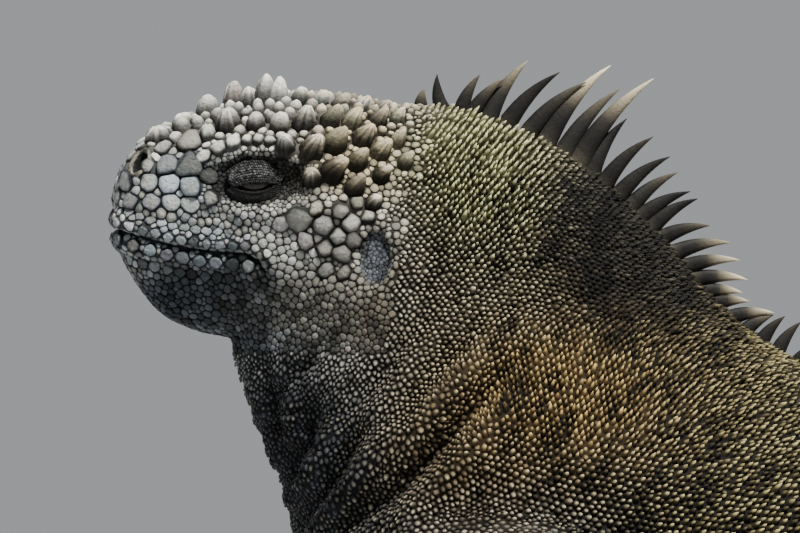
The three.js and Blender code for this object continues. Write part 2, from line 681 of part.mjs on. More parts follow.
function toe(start, heading, length, radius, claw, side) {
  const way = new THREE.Vector3(-Math.cos(heading), side * Math.sin(heading), 0);
  const up = new THREE.Vector3(0, 0, 1);
  const across = new THREE.Vector3().crossVectors(way, up).normalize();
  const stretch = [-6, 0.4 * length, length];
  const heights = [4.8, 5.4, 3];
  const sizes = [1, 0.97, 0.76];
  const sides = 5;
  const rings = stretch.map((reach, i) => {
    const centre = start.clone().addScaledVector(way, reach).setZ(heights[i]);
    return Array.from({ length: sides }, (_, s) => {
      const angle = (2 * Math.PI * (s + 0.5)) / sides;
      const point = centre.clone().addScaledVector(across, radius * sizes[i] * Math.cos(angle));
      return point.addScaledVector(up, radius * sizes[i] * Math.sin(angle) * 0.95);
    });
  });
  const { width, thick, bow, sunk, height, dip, at } = clawShape;
  const base = start.clone().addScaledVector(way, length * at).setZ(height);
  const direction = way.clone().addScaledVector(up, -dip).normalize();
  const nail = spike({ root: base, direction, side: across, length: claw, width, thick, bow, sides: 4, sunk });
  return joined([solidOver(rings), nail]);
}

function legNodes(plan, side) {
  const label = side < 0 ? "left" : "right";
  const { solid, points } = limb(plan, side, plan.strides[label]);
  const bend = points[plan.bend];
  const ankle = points.at(-1);
  const upperWay = bend.clone().sub(points[0]).normalize();
  const lowerWay = ankle.clone().sub(bend).normalize();
  const footWay = new THREE.Vector3(-Math.cos(plan.heading), side * Math.sin(plan.heading), -ankleDip);
  footWay.normalize();
  const elbowCut = { point: bend, normal: upperWay.clone().add(lowerWay) };
  const aboveAnkle = ankle.clone().addScaledVector(lowerWay, -1);
  const ankleCut = { point: aboveAnkle, normal: lowerWay.clone().add(footWay) };
  const palm = plan.palm;
  const sole = ankle.clone().addScaledVector(footWay, palm.length * 0.5).setZ(palm.high * 0.8);
  const palmHalves = new THREE.Vector3(palm.length * 0.75, palm.wide, palm.high);
  const pad = blob(sole, palmHalves, new THREE.Euler(0, 0, -side * plan.heading), 8);
  const heelHalves = new THREE.Vector3().setScalar(heel.radius);
  const heelBall = blob(ankle.clone().setZ(heel.height), heelHalves, undefined, 8);
  const knuckles = ankle.clone().addScaledVector(footWay, palm.length);
  const across = new THREE.Vector3(side * footWay.y, -side * footWay.x, 0).normalize();
  const toes = plan.toes.map(({ length, turn }, n) => {
    const start = knuckles.clone().addScaledVector(across, (n - 2) * palm.wide * toeFan.apart);
    start.addScaledVector(footWay, -toeFan.setBack * (n - 2) ** 2);
    const claw = plan.claw * (0.85 + length / 200);
    return toe(start, plan.heading + turn, length, plan.toeRadius, claw, side);
  });
  const socket = joined([loft(bodySections, 1, bodySides, gap), tailLoft(tailSteps, tailSides)]);
  const upper = before(solid, elbowCut).subtract(socket);
  const lower = before(beyond(solid, elbowCut), ankleCut);
  const foot = beyond(joined([solid, pad, heelBall, ...toes]), ankleCut);
  return [
    [`${plan.parts[0]}_${label}`, aboveFloor(upper), colours.leg],
    [`${plan.parts[1]}_${label}`, aboveFloor(lower), colours.leg],
    [`${plan.parts[2]}_${label}`, aboveFloor(foot), colours.foot],
  ];
}

// The finished group: one named mesh for each part.
const root = new THREE.Group();
function addNode(name, solid, colour, roughness = 0.85) {
  const material = new THREE.MeshStandardMaterial({ color: colour, roughness, metalness: 0 });
  const mesh = new THREE.Mesh(geometryOf(solid), material);
  mesh.name = name;
  root.add(mesh);
}

addNode("head", headSolid, colours.head);
addNode("lower_jaw", jawSolid, colours.jaw);
for (const side of [-1, 1]) {
  const ball = blob(eyeMiddle(side), new THREE.Vector3().setScalar(eye.radius), undefined, eyeFine);
  addNode(side < 0 ? "eye_left" : "eye_right", ball, colours.eye, 0.15);
}

axialNames.forEach((name, i) => {
  const [from, to] = [axialCuts[i - 1], axialCuts[i]];
  const spines = crestOn(from ?? napeCut, to, crest);
  const front = from ? beyond(whole, from) : whole.subtract(slab(headOutline(gap)));
  const slice = to ? before(front, to) : front;
  addNode(name, aboveFloor(joined([slice, ...spines])), axialColours[i] ?? colours.tail);
});

for (const side of [-1, 1]) {
  for (const plan of [foreleg, hindleg]) {
    for (const [name, solid, colour] of legNodes(plan, side)) addNode(name, solid, colour);
  }
}

export default root;
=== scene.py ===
import bpy
import bmesh
import math
import time
import numpy as np
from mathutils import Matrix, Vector
from mathutils.bvhtree import BVHTree
from mathutils.kdtree import KDTree


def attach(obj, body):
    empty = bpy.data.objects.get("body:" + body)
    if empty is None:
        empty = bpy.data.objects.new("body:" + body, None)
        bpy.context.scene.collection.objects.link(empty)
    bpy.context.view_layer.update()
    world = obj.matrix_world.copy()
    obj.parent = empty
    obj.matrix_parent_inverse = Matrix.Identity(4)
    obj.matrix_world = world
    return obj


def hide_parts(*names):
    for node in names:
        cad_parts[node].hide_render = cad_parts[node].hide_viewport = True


# A marine iguana in life size. Shapes are worked out in millimetres, as [behind the snout tip, out, height].
started = time.time()
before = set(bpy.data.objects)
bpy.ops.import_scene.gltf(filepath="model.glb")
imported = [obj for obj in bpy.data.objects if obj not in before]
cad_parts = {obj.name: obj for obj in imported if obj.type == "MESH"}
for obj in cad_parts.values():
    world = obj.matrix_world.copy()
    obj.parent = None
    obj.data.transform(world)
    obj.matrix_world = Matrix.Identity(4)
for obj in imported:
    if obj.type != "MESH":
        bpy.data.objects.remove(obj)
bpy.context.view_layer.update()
dice = np.random.default_rng(11)
mm = 0.001
snoutX = -335.0  # the tip of the snout in the frame


def stage(words):
    print(f"{time.time() - started:6.1f} s  {words}")


# Small numeric helpers
def ease(low, high, value):
    t = np.clip((value - low) / (high - low), 0, 1)
    return t * t * (3 - 2 * t)


def unit(vectors):
    return vectors / np.maximum(np.linalg.norm(vectors, axis=-1, keepdims=True), 1e-9)


def spline(values, t):
    values = np.asarray(values, float)
    last = len(values) - 1
    i = np.clip(np.floor(t).astype(int), 0, last - 1)
    f = t - i
    if values.ndim > 1:
        f = f[..., None]
    a, b = values[np.maximum(i - 1, 0)], values[i]
    c, d = values[i + 1], values[np.minimum(i + 2, last)]
    return b + 0.5 * f * (c - a + f * (2 * a - 5 * b + 4 * c - d + f * (3 * (b - c) + d - a)))


def place(behind, out, height):
    return np.stack(np.broadcast_arrays(behind + snoutX, out, height), -1).astype(float)


def wobble(points, size, seed):
    # smooth noise from crossed waves, about -1 to 1
    draw = np.random.default_rng(seed)
    total = np.zeros(len(points))
    for _ in range(7):
        way = unit(draw.normal(size=3)) * (2 * math.pi / size) * draw.uniform(0.6, 1.6)
        total += np.sin(points @ way + draw.uniform(0, 6.3))
    return total / 3.2


def sideView(points):
    # how far each point lies behind the snout tip, how high, and how far out
    return points[:, 0] - snoutX, points[:, 2], np.abs(points[:, 1])


def toPath(behind, height, path):
    # distance to a line drawn in the side view, the side it lies on, and how far along it the nearest point is
    point = np.stack([behind, height], -1)
    best = np.full(len(point), 1e9)
    side = np.zeros(len(point))
    along = np.zeros(len(point))
    for n, (a, b) in enumerate(zip(path[:-1], path[1:])):
        a, b = np.array(a, float), np.array(b, float)
        way = b - a
        t = np.clip((point - a) @ way / (way @ way), 0, 1)
        off = point - (a + t[:, None] * way)
        distance = np.linalg.norm(off, axis=1)
        near = distance < best
        best = np.where(near, distance, best)
        side = np.where(near, np.sign(way[0] * off[:, 1] - way[1] * off[:, 0]), side)
        along = np.where(near, (n + t) / (len(path) - 1), along)
    return best, side, along


# The forms of the body. Each row: top behind, top height, bottom behind, bottom height, half width,
# power of the upper half, power of the lower half, and how far the widest level is moved up.
headForm = [
    [0.1, 181.5, 0.1, 171.5, 5, 0.9, 0.9, 0],
    [1, 186, 0.8, 168.3, 9.6, 0.85, 0.9, 0],
    [3, 190.6, 3, 165, 12.4, 0.8, 0.9, -0.05],
    [7, 195, 6.8, 159, 14.6, 0.8, 0.95, 0],
    [13.3, 198.3, 12.5, 152.8, 16.4, 0.78, 1, 0.04],
    [20.8, 201.8, 20, 149.3, 18, 0.76, 1, 0.05],
    [29.3, 204.3, 27.5, 147.6, 20.4, 0.76, 1, 0.03],
    [38.8, 205.4, 37.5, 147.3, 23.2, 0.78, 0.95, -0.03],
    [48.8, 205.4, 47.5, 148.3, 26, 0.8, 0.9, -0.1],
    [58.8, 204.4, 57.5, 149.8, 27.4, 0.85, 0.9, -0.14],
    [68.8, 202, 66.3, 152.3, 26, 0.9, 0.9, -0.12],
    [76, 196, 73.5, 157, 18, 0.95, 0.95, -0.05],
]
bodyForm = [
    [54, 197, 32, 150, 15, 1, 1, 0],
    [67.5, 202.5, 30, 143.5, 21.5, 0.98, 1, 0.05],
    [78.8, 204, 32.5, 135, 25.5, 1, 1.02, 0.08],
    [90, 201.3, 34.8, 127.3, 29, 1.05, 1.05, 0.08],
    [101.3, 197, 38, 120.3, 32.5, 1.08, 1.05, 0.06],
    [113.8, 190.6, 41.5, 112.3, 36.5, 1.1, 1.02, 0.03],
    [125, 182.2, 44.3, 103.5, 41, 1.1, 1, 0],
    [135.4, 173, 46, 93, 45.5, 1.1, 0.97, -0.03],
    [144.4, 161.8, 51, 79.5, 50, 1.08, 0.95, -0.05],
    [156.3, 149, 66, 62, 54, 1.05, 0.92, -0.08],
    [172, 138.8, 94, 47.5, 57.5, 1, 0.9, -0.1],
    [200, 126, 135, 36, 61.5, 0.97, 0.86, -0.14],
    [232, 113.5, 186, 23, 65.5, 0.95, 0.82, -0.18],
    [265, 101, 236, 9, 67, 0.95, 0.78, -0.22],
    [298, 88.5, 283, 0.2, 62.5, 0.97, 0.75, -0.24],
    [328, 77, 322, -1.2, 52.5, 1, 0.74, -0.22],
    [355, 65.5, 354, -1, 41, 1, 0.74, -0.15],
    [381, 55, 382, -0.8, 30, 1, 0.8, -0.1],
    [400, 49, 401, -0.7, 24, 1, 0.85, -0.08],
]
tail = {
    "root": 376,
    "length": 575,
    "swing": 0.62,
    "along": [0, 30, 70, 140, 230, 330, 430, 510, 555, 575],
    "half": [29, 22.5, 17, 12.8, 9.8, 7.4, 5.2, 3.4, 2.2, 1.2],
    "height": [55, 49, 45, 41, 36, 29.5, 21.5, 14, 8.5, 4.2],
}
foreleg = {
    # behind, out, height and radius of each joint, from the shoulder down
    "joints": [
        [80, 34, 89, 21], [106, 56, 83, 18.5], [130, 74, 65, 14.5], [119, 81, 38, 13.5], [106, 85, 14, 9.6],
    ],
    "heading": 0.32,
    "palm": [17, 13, 6.2],
    "toes": [[19, -0.66], [27, -0.3], [32, 0.02], [31, 0.36], [22, 0.86]],
    "heel": [9.5, 9.8],
    "toeRadius": 3.6,
    "claw": 12,
    "stride": {-1: 0, 1: -7},
}
hindleg = {
    "joints": [
        [352, 22, 38, 24], [328, 58, 48, 23], [299, 93, 49, 17], [323, 108, 31, 15], [350, 115, 13.5, 10],
    ],
    "heading": 0.5,
    "palm": [30, 13.5, 6],
    "toes": [[20, -0.52], [30, -0.24], [41, 0.02], [50, 0.28], [34, 0.8]],
    "heel": [9.5, 9.8],
    "toeRadius": 3.7,
    "claw": 12,
    "stride": {-1: 0, 1: 8},
}


def formRing(form, t, angles):
    row = spline(form, np.full(1, t))[0]
    up, across = np.cos(angles), np.sin(angles)
    power = np.where(up > 0, row[5], row[6])
    up = np.sign(up) * np.abs(up) ** power
    across = np.sign(across) * np.abs(across) ** power
    level = up + row[7] * (1 - up * up)
    top, bottom = place(row[0], 0, row[1]), place(row[2], 0, row[3])
    points = (top + bottom) / 2 + np.outer(level, (top - bottom) / 2)
    points[:, 1] += row[4] * across
    return points


def tailPath():
    step = 5.0
    points = [np.array([tail["root"] + snoutX, 0.0, 0.0])]
    for s in np.arange(step, tail["length"] + 1, step):
        share = s / tail["length"]
        heading = tail["swing"] * math.sin(math.pi * 1.55 * share**1.15) * float(ease(0, 0.3, share))
        points.append(points[-1] + step * np.array([math.cos(heading), math.sin(heading), 0]))
    return np.array(points)


tailLine = tailPath()


def tailAt(s):
    last = len(tailLine) - 1
    t = np.full(1, np.clip(s / tail["length"], 0, 1) * last)
    point = spline(tailLine, t)[0]
    forward = unit(spline(tailLine, np.minimum(t + 0.5, last))[0] - spline(tailLine, np.maximum(t - 0.5, 0))[0])
    index = np.interp(s, tail["along"], range(len(tail["along"])))
    half, height = spline(np.stack([tail["half"], tail["height"]], 1), np.full(1, index))[0]
    return point, forward, np.array([-forward[1], forward[0], 0]), half, height


def tailRing(s, angles):
    point, _, side, half, height = tailAt(s)
    lowest = -0.4
    level = np.cos(angles) - 0.12 * np.sin(angles) ** 2
    points = point + np.outer(half * np.sin(angles), side)
    points[:, 2] = (height + lowest) / 2 + (height - lowest) / 2 * level
    return points


def tubeRing(centre, way, radius, angles, flat=1.0):
    across = unit(np.cross(way, [0.2, 0, 1]))
    other = unit(np.cross(across, way))
    return centre + radius * (np.outer(np.cos(angles), across) + flat * np.outer(np.sin(angles), other))


class Leg:
    # one leg with its foot, worked out from its plan
    def __init__(self, plan, side):
        self.plan, self.side = plan, side
        joints = np.array(plan["joints"], float)
        shift = plan["stride"][side] * ease(70, 10, joints[:, 2])
        self.points = place(joints[:, 0] + shift, side * joints[:, 1], joints[:, 2])
        self.radii = joints[:, 3]
        turn = plan["heading"]
        self.footWay = unit(np.array([-math.cos(turn), side * math.sin(turn), -0.12]))
        self.ankle = self.points[-1]

    def ring(self, t, angles):
        last = len(self.points) - 1
        at = np.full(1, t * last)
        centre = spline(self.points, at)[0]
        near = spline(self.points, np.clip(at + 0.05, 0, last))[0]
        far = spline(self.points, np.clip(at - 0.05, 0, last))[0]
        return tubeRing(centre, unit(near - far), spline(self.radii, at)[0], angles, 0.96)

    def toes(self):
        length, wide, _ = self.plan["palm"]
        knuckles = self.ankle + self.footWay * length
        across = unit(np.array([self.side * self.footWay[1], -self.side * self.footWay[0], 0]))
        for n, (reach, turn) in enumerate(self.plan["toes"]):
            start = knuckles + across * (n - 2) * wide * 0.42 - self.footWay * 0.9 * abs(n - 2) ** 2
            heading = self.plan["heading"] + turn
            way = np.array([-math.cos(heading), self.side * math.sin(heading), 0])
            yield start, way, reach

    def toeRing(self, start, way, reach, s, angles):
        radius = self.plan["toeRadius"]
        height = np.interp(s, [-6, 0.4 * reach, reach], [5.2, 5.4, 3.4])
        joints = 0.07 * math.cos(2 * math.pi * 3 * max(s, 0) / reach)
        size = radius * (np.interp(s, [-6, 0.4 * reach, 0.9 * reach, reach], [1.05, 1, 0.84, 0.7]) + joints)
        centre = np.array([*(start + way * s)[:2], height])
        return tubeRing(centre, way, size, angles, 0.92)


def palmRing(leg, level, angles):
    length, wide, high = leg.plan["palm"]
    flatWay = unit(leg.footWay * [1, 1, 0])
    across = np.array([-flatWay[1], flatWay[0], 0])
    middle = np.array([*(leg.ankle + leg.footWay * length * 0.5)[:2], high * 0.8])
    reach = math.sqrt(max(1 - abs(level) ** 2.4, 0.003))
    turn = np.outer(np.cos(angles), across * wide) + np.outer(np.sin(angles), [0, 0, high])
    return middle + flatWay * length * 0.78 * level + reach * turn


def heelRing(leg, level, angles):
    high, wide = leg.plan["heel"]
    heel = np.array([*leg.ankle[:2], high])
    reach = wide * math.sqrt(max(1 - level * level, 0.003))
    return heel + [0, 0, high * level] + tubeRing(np.zeros(3), np.array([0, 0.001, 1]), reach, angles)


legs = [Leg(plan, side) for side in (-1, 1) for plan in (foreleg, hindleg)]


# Meshes
def lofted(rings):
    count, sides = len(rings), len(rings[0])
    points = np.concatenate(rings)
    s = np.arange(sides)
    faces = []
    for r in range(count - 1):
        low, high = r * sides, (r + 1) * sides
        faces.append(np.stack([low + s, low + (s + 1) % sides, high + (s + 1) % sides, high + s], 1))
    caps = [list(range(sides))[::-1], list(range((count - 1) * sides, count * sides))]
    return points, np.concatenate(faces), caps


def meshOf(name, points, faces, caps=()):
    mesh = bpy.data.meshes.new(name)
    if len(caps):
        mesh.from_pydata((points * mm).tolist(), [], faces.tolist() + [list(c) for c in caps], shade_flat=False)
    else:
        width = faces.shape[1]
        mesh.vertices.add(len(points))
        mesh.vertices.foreach_set("co", (points * mm).astype(np.float32).ravel())
        mesh.loops.add(faces.size)
        mesh.loops.foreach_set("vertex_index", faces.astype(np.int32).ravel())
        mesh.polygons.add(len(faces))
        mesh.polygons.foreach_set("loop_start", np.arange(0, faces.size, width, dtype=np.int32))
        mesh.update(calc_edges=True)
        mesh.shade_smooth()
    return mesh


def piece(name, mesh, finish, slot, tone=None, replaces=()):
    thing = bpy.data.objects.new(name, mesh)
    bpy.context.scene.collection.objects.link(thing)
    mesh.materials.append(finish)
    if tone is not None:
        paint(mesh, tone)
    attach(thing, "root")
    if replaces:
        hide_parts(*replaces)
    return thing


def paint(mesh, tone):
    layer = mesh.color_attributes.new(name="tone", type="FLOAT_COLOR", domain="POINT")
    colour = np.ones((len(tone), 4), np.float32)
    colour[:, :3] = tone
    layer.data.foreach_set("color", colour.ravel())


# Shader maths
class Wire:
    def __init__(self, tree, socket):
        self.tree, self.socket = tree, socket

    def maths(self, operation, left, right):
        return addNode(self.tree, "ShaderNodeMath", {"operation": operation}, [left, right])

    def __add__(self, other):
        return self.maths("ADD", self, other)

    def __radd__(self, other):
        return self.maths("ADD", other, self)

    def __sub__(self, other):
        return self.maths("SUBTRACT", self, other)

    def __rsub__(self, other):
        return self.maths("SUBTRACT", other, self)

    def __mul__(self, other):
        return self.maths("MULTIPLY", self, other)

    def __rmul__(self, other):
        return self.maths("MULTIPLY", other, self)


def addNode(tree, kind, settings=None, values=None, output=0):
    node = tree.nodes.new(kind)
    for key, value in (settings or {}).items():
        setattr(node, key, value)
    pairs = values.items() if isinstance(values, dict) else enumerate(values or [])
    for key, value in pairs:
        if isinstance(value, Wire):
            tree.links.new(value.socket, node.inputs[key])
        else:
            node.inputs[key].default_value = value
    return Wire(tree, node.outputs[output])


def finishOf(name, roughness, grain, relief, mottle=0.25, gloss=0.4, coat=0.0, depth=0.3):
    # the tone painted on the mesh, broken up by grain, with a fine relief
    material = bpy.data.materials.new(name)
    material.use_nodes = True
    tree = material.node_tree
    shader = tree.nodes["Principled BSDF"]
    spot = addNode(tree, "ShaderNodeTexCoord", output=3)
    noise = "ShaderNodeTexNoise"
    fine = addNode(tree, noise, {}, {"Vector": spot, "Scale": grain, "Detail": 5.0, "Roughness": 0.6})
    broad = addNode(tree, noise, {}, {"Vector": spot, "Scale": grain / 6, "Detail": 3.0})
    tone = addNode(tree, "ShaderNodeAttribute", {"attribute_name": "tone"})
    shade = 1 - mottle + (fine + broad) * mottle
    vector = addNode(tree, "ShaderNodeCombineXYZ", {}, [shade, shade, shade])
    colour = addNode(tree, "ShaderNodeVectorMath", {"operation": "MULTIPLY"}, [tone, vector])
    tree.links.new(colour.socket, shader.inputs["Base Color"])
    rough = roughness - 0.12 + fine * 0.24
    tree.links.new(rough.socket, shader.inputs["Roughness"])
    bump = addNode(tree, "ShaderNodeBump", {}, {"Strength": relief, "Distance": depth * mm, "Height": fine})
    tree.links.new(bump.socket, shader.inputs["Normal"])
    shader.inputs["Specular IOR Level"].default_value = gloss
    shader.inputs["Coat Weight"].default_value = coat
    shader.inputs["Coat Roughness"].default_value = 0.04
    return material


skinFinish = finishOf("skinFold", 0.78, 900, 0.5, 0.35, 0.12)
scaleFinish = finishOf("dryScale", 0.66, 1500, 0.4, 0.4, 0.1)
plateFinish = finishOf("chalkyPlate", 0.74, 1000, 1.0, 0.6, 0.12, 0.0, 0.7)
hornFinish = finishOf("spineHorn", 0.62, 1100, 0.6, 0.5, 0.13)
clawFinish = finishOf("clawHorn", 0.36, 900, 0.2, 0.25, 0.4)
eyeFinish = finishOf("wetEye", 0.28, 700, 0.0, 0.1, 0.3, 0.25)

# The camera has the photograph's frame: 200 mm across at the middle of the animal.
view = {"behind": 71.25, "height": 164.4, "across": 200, "distance": 2000, "sensor": 36}


def makeCamera():
    data = bpy.data.cameras.new("camera")
    data.sensor_width = view["sensor"]
    data.lens = view["sensor"] * view["distance"] / view["across"]
    data.clip_start = 0.05
    camera = bpy.data.objects.new("camera", data)
    camera.location = place(view["behind"], -view["distance"], view["height"]) * mm
    camera.rotation_euler = (math.pi / 2, 0, 0)
    bpy.context.scene.collection.objects.link(camera)
    bpy.context.scene.camera = camera


studio = {
    "key": [(0.02, -0.62, 1.36), 0.2, 58, (1, 0.965, 0.9)],
    "rim": [(0.55, 0.7, 0.95), 0.5, 9, (1, 0.98, 0.95)],
    "fill": [(-1.3, -0.9, 0.35), 1.0, 2.6, (0.86, 0.92, 1)],
    "world": (0.62, 0.64, 0.66),
    "worldStrength": 0.12,
    "backdrop": 0.55,
    "aim": (-0.22, 0, 0.13),
    "floor": 2.8,
    "floorTone": 0.34,
    "floorGlow": (0.295, 0.303, 0.312, 1),  # lets the far floor meet the backdrop softly
}


def makeStudio():
    for name in ("key", "rim", "fill"):
        where, size, power, colour = studio[name]
        lamp = bpy.data.lights.new(name, "AREA")
        lamp.size, lamp.energy, lamp.color = size, power, colour
        light = bpy.data.objects.new(name, lamp)
        light.location = where
        light.rotation_euler = (Vector(studio["aim"]) - Vector(where)).to_track_quat("-Z", "Y").to_euler()
        bpy.context.scene.collection.objects.link(light)
    world = bpy.data.worlds.new("studioAir")
    world.use_nodes = True
    tree = world.node_tree
    seen = addNode(tree, "ShaderNodeLightPath")
    strength = studio["worldStrength"] + seen * (studio["backdrop"] - studio["worldStrength"])
    tree.nodes["Background"].inputs[0].default_value = (*studio["world"], 1)
    tree.links.new(strength.socket, tree.nodes["Background"].inputs[1])
    bpy.context.scene.world = world
    half = studio["floor"] / mm
    corners = np.array([[-half, -half, 0], [half, -half, 0], [half, half, 0], [-half, half, 0]])
    mesh = meshOf("floor", corners, np.array([[0, 1, 2, 3]]))
    paint(mesh, np.full((4, 3), studio["floorTone"]))
    finish = finishOf("paleFloor", 0.8, 40, 0.02, 0.04)
    shader = finish.node_tree.nodes["Principled BSDF"]
    shader.inputs["Emission Color"].default_value = studio["floorGlow"]
    shader.inputs["Emission Strength"].default_value = 1
    mesh.materials.append(finish)
    floor = bpy.data.objects.new("floor", mesh)
    bpy.context.scene.collection.objects.link(floor)


# One skin over the whole animal
skinPlan = {
    "voxel": 1.6,
    "sides": 48,
    "headEnd": 84,
    "headAbove": 140,
    "headCuts": 2,
    "evenRounds": 5,
    "softRounds": 28,
    "softJoints": [[0, 26], [1, 20], [4, 9]],  # which joint of a leg is softened, and how far from it
    "seamBehind": 72,
}


def bodySolids():
    angles = np.linspace(0, 2 * math.pi, skinPlan["sides"], endpoint=False)
    yield lofted([formRing(headForm, t, angles) for t in np.arange(0, len(headForm) - 0.99, 0.2)])
    yield lofted([formRing(bodyForm, t, angles) for t in np.arange(0, len(bodyForm) - 0.99, 0.2)])
    yield lofted([tailRing(s, angles) for s in np.linspace(0, tail["length"], 120)])
    ball = np.linspace(-1, 1, 13)
    for leg in legs:
        yield lofted([leg.ring(t, angles[::2]) for t in np.linspace(0, 1, 30)])
        yield lofted([palmRing(leg, level, angles[::2]) for level in ball])
        yield lofted([heelRing(leg, level, angles[::2]) for level in ball])
        for start, way, reach in leg.toes():
            stops = [*np.linspace(-6, reach, 16), reach + 1.4]
            rings = [leg.toeRing(start, way, reach, min(s, reach), angles[::4]) for s in stops]
            tip = rings[-1].mean(0)
            rings[-1] = tip + (rings[-1] - tip) * 0.5 + way * 1.4
            yield lofted(rings)


def neighbours(mesh):
    edges = np.empty(len(mesh.edges) * 2, np.int32)
    mesh.edges.foreach_get("vertices", edges)
    return edges.reshape(-1, 2)


def averaged(points, edges, counts):
    total = np.zeros_like(points)
    for axis in range(3):
        total[:, axis] = np.bincount(edges[:, 0], points[edges[:, 1], axis], len(points))
        total[:, axis] += np.bincount(edges[:, 1], points[edges[:, 0], axis], len(points))
    return total / counts[:, None]


def relax(points, edges, weight, times):
    counts = np.maximum(np.bincount(edges.ravel(), minlength=len(points)), 1)
    for _ in range(times):
        points = points + (averaged(points, edges, counts) - points) * weight[:, None]
    return points


def readPoints(mesh):
    points = np.empty(len(mesh.vertices) * 3, np.float32)
    mesh.vertices.foreach_get("co", points)
    return points.reshape(-1, 3).astype(float) / mm


def writePoints(mesh, points):
    mesh.vertices.foreach_set("co", (points * mm).astype(np.float32).ravel())
    mesh.update()


def readNormals(mesh):
    normals = np.empty(len(mesh.vertices) * 3, np.float32)
    mesh.vertices.foreach_get("normal", normals)
    return normals.reshape(-1, 3).astype(float)


face = {
    "mouth": [
        [-1, 174], [0.5, 173.6], [6, 171.9], [14, 169.6], [24, 168], [33, 167.4], [36.5, 165.6], [39, 162],
    ],
    "eye": [35.5, 185],
    "eyeOut": 14.6,
    "eyeRadius": 6.7,
    "orbit": {"at": [36, 185.8], "half": [13.4, 6.8], "deep": 3.6},
    "brow": [[19, 190.5], [26, 193], [36, 194], [46, 192.4], [52, 188]],
    "underEye": [[20, 184.5], [31, 178], [41, 177.2], [50, 178.4], [58, 180]],
    "nostril": {"at": [6.6, 190.2], "half": [1.45, 3.0], "tilt": 0.55, "deep": 3.2, "rim": 1.3, "end": 14},
    "eardrum": {"at": [65.2, 166.5], "half": [4.1, 6.8], "deep": 1.7, "rim": 0.6},
    "jowl": [[38, 163], [46, 160], [56, 158], [64, 154]],
}
folds = [
    # path in the side view, how deep, how wide
    [[[51, 130], [48.8, 121], [43, 110]], 2.3, 1.9],
    [[[61, 124], [57, 113], [45, 97]], 2.6, 2.1],
    [[[98, 140], [84, 124], [69, 108.5], [56, 97.5]], 3, 2.8],
    [[[75, 150], [66, 136], [58, 127]], 1, 2],
    [[[38, 142], [41, 128], [46, 112]], 1.2, 1.5],
    [[[92, 152], [80, 136], [72, 122]], 0.9, 2.2],
    [[[70, 118], [60, 104], [50, 96]], 1.5, 1.8],
    [[[52, 146], [47, 138], [40, 132]], 1.2, 1.6],
]


def oval(behind, height, part):
    # 0 in the middle of a part of the face and 1 on its edge
    tilt = part.get("tilt", 0.0)
    u, v = behind - part["at"][0], height - part["at"][1]
    u, v = u * math.cos(tilt) - v * math.sin(tilt), u * math.sin(tilt) + v * math.cos(tilt)
    return np.sqrt((u / part["half"][0]) ** 2 + (v / part["half"][1]) ** 2)


def mound(behind, height, middle, reach):
    return np.exp(-(((behind - middle[0]) / reach[0]) ** 2) - ((height - middle[1]) / reach[1]) ** 2)


def ridge(far, wide, shift=0.0):
    return np.exp(-(((far - shift) / wide) ** 2))


def toFold(behind, height, path):
    # distance to a fold, and its strength, which fades towards its ends
    far, _, along = toPath(behind, height, path)
    return far, np.sin(np.clip(along, 0.02, 0.98) * math.pi) ** 0.5


def sculpt(points, normals):
    # every fold, hollow and rim that stands in the skin itself, as a move along its normals
    behind, height, out = sideView(points)
    facing = np.abs(normals[:, 1])
    onHead = 1 - ease(80, 92, behind)
    flank = ease(0.25, 0.6, facing)
    move = 0.25 * wobble(points, 16, 3) + 0.5 * wobble(points, 40, 4)
    move *= ease(5, 30, out + height)

    side = ease(8, 13, out) * onHead
    move -= face["orbit"]["deep"] * (1 - ease(0.25, 1.05, oval(behind, height, face["orbit"]))) * side
    for line, high, wide in (("brow", 1.7, 2.3), ("underEye", 1.1, 2)):
        move += high * ridge(toPath(behind, height, face[line])[0], wide) * side

    # the mouth with a lip on each side of it
    far, _, along = toPath(behind, height, face["mouth"])
    jaw = onHead * ease(0, 4, out + (behind < 6) * 9)
    close = 1 - 0.6 * ease(0.85, 1, along)
    move -= 1.9 * ridge(far, 0.75) * jaw * close
    move += 0.75 * ridge(far, 1.5, 2.4) * jaw * close
    move -= 0.5 * ridge(far, 1.2, 5.4) * jaw * (1 - ease(24, 36, behind))

    part = face["nostril"]
    nose = oval(behind, height, part)
    snout = ease(5, 8, out) * (1 - ease(part["end"], 18, behind)) * ease(0.2, 0.45, facing)
    move += part["rim"] * ridge(nose, 0.5, 1.5) * snout
    move -= part["deep"] * (1 - ease(0.45, 1.0, nose)) * snout

    part = face["eardrum"]
    drum = oval(behind, height, part)
    move -= part["deep"] * (1 - ease(0.7, 1.15, drum)) * flank
    move += part["rim"] * ridge(drum, 0.22, 1.35) * flank
    move += 1.6 * ridge(toPath(behind, height, face["jowl"])[0], 5) * flank

    for path, deep, wide in folds:
        far, fade = toFold(behind, height, path)
        near = ease(0, 0.35, facing)
        move -= deep * ridge(far, wide) * fade * near
        move += 0.75 * deep * ridge(far, 1.5 * wide, 2.6 * wide) * fade * near
    throat = mound(behind, height, (40, 122), (16, 22))
    move += 0.5 * throat * np.sin(height * 1.15 + 2.5 * wobble(points, 18, 8))
    return move


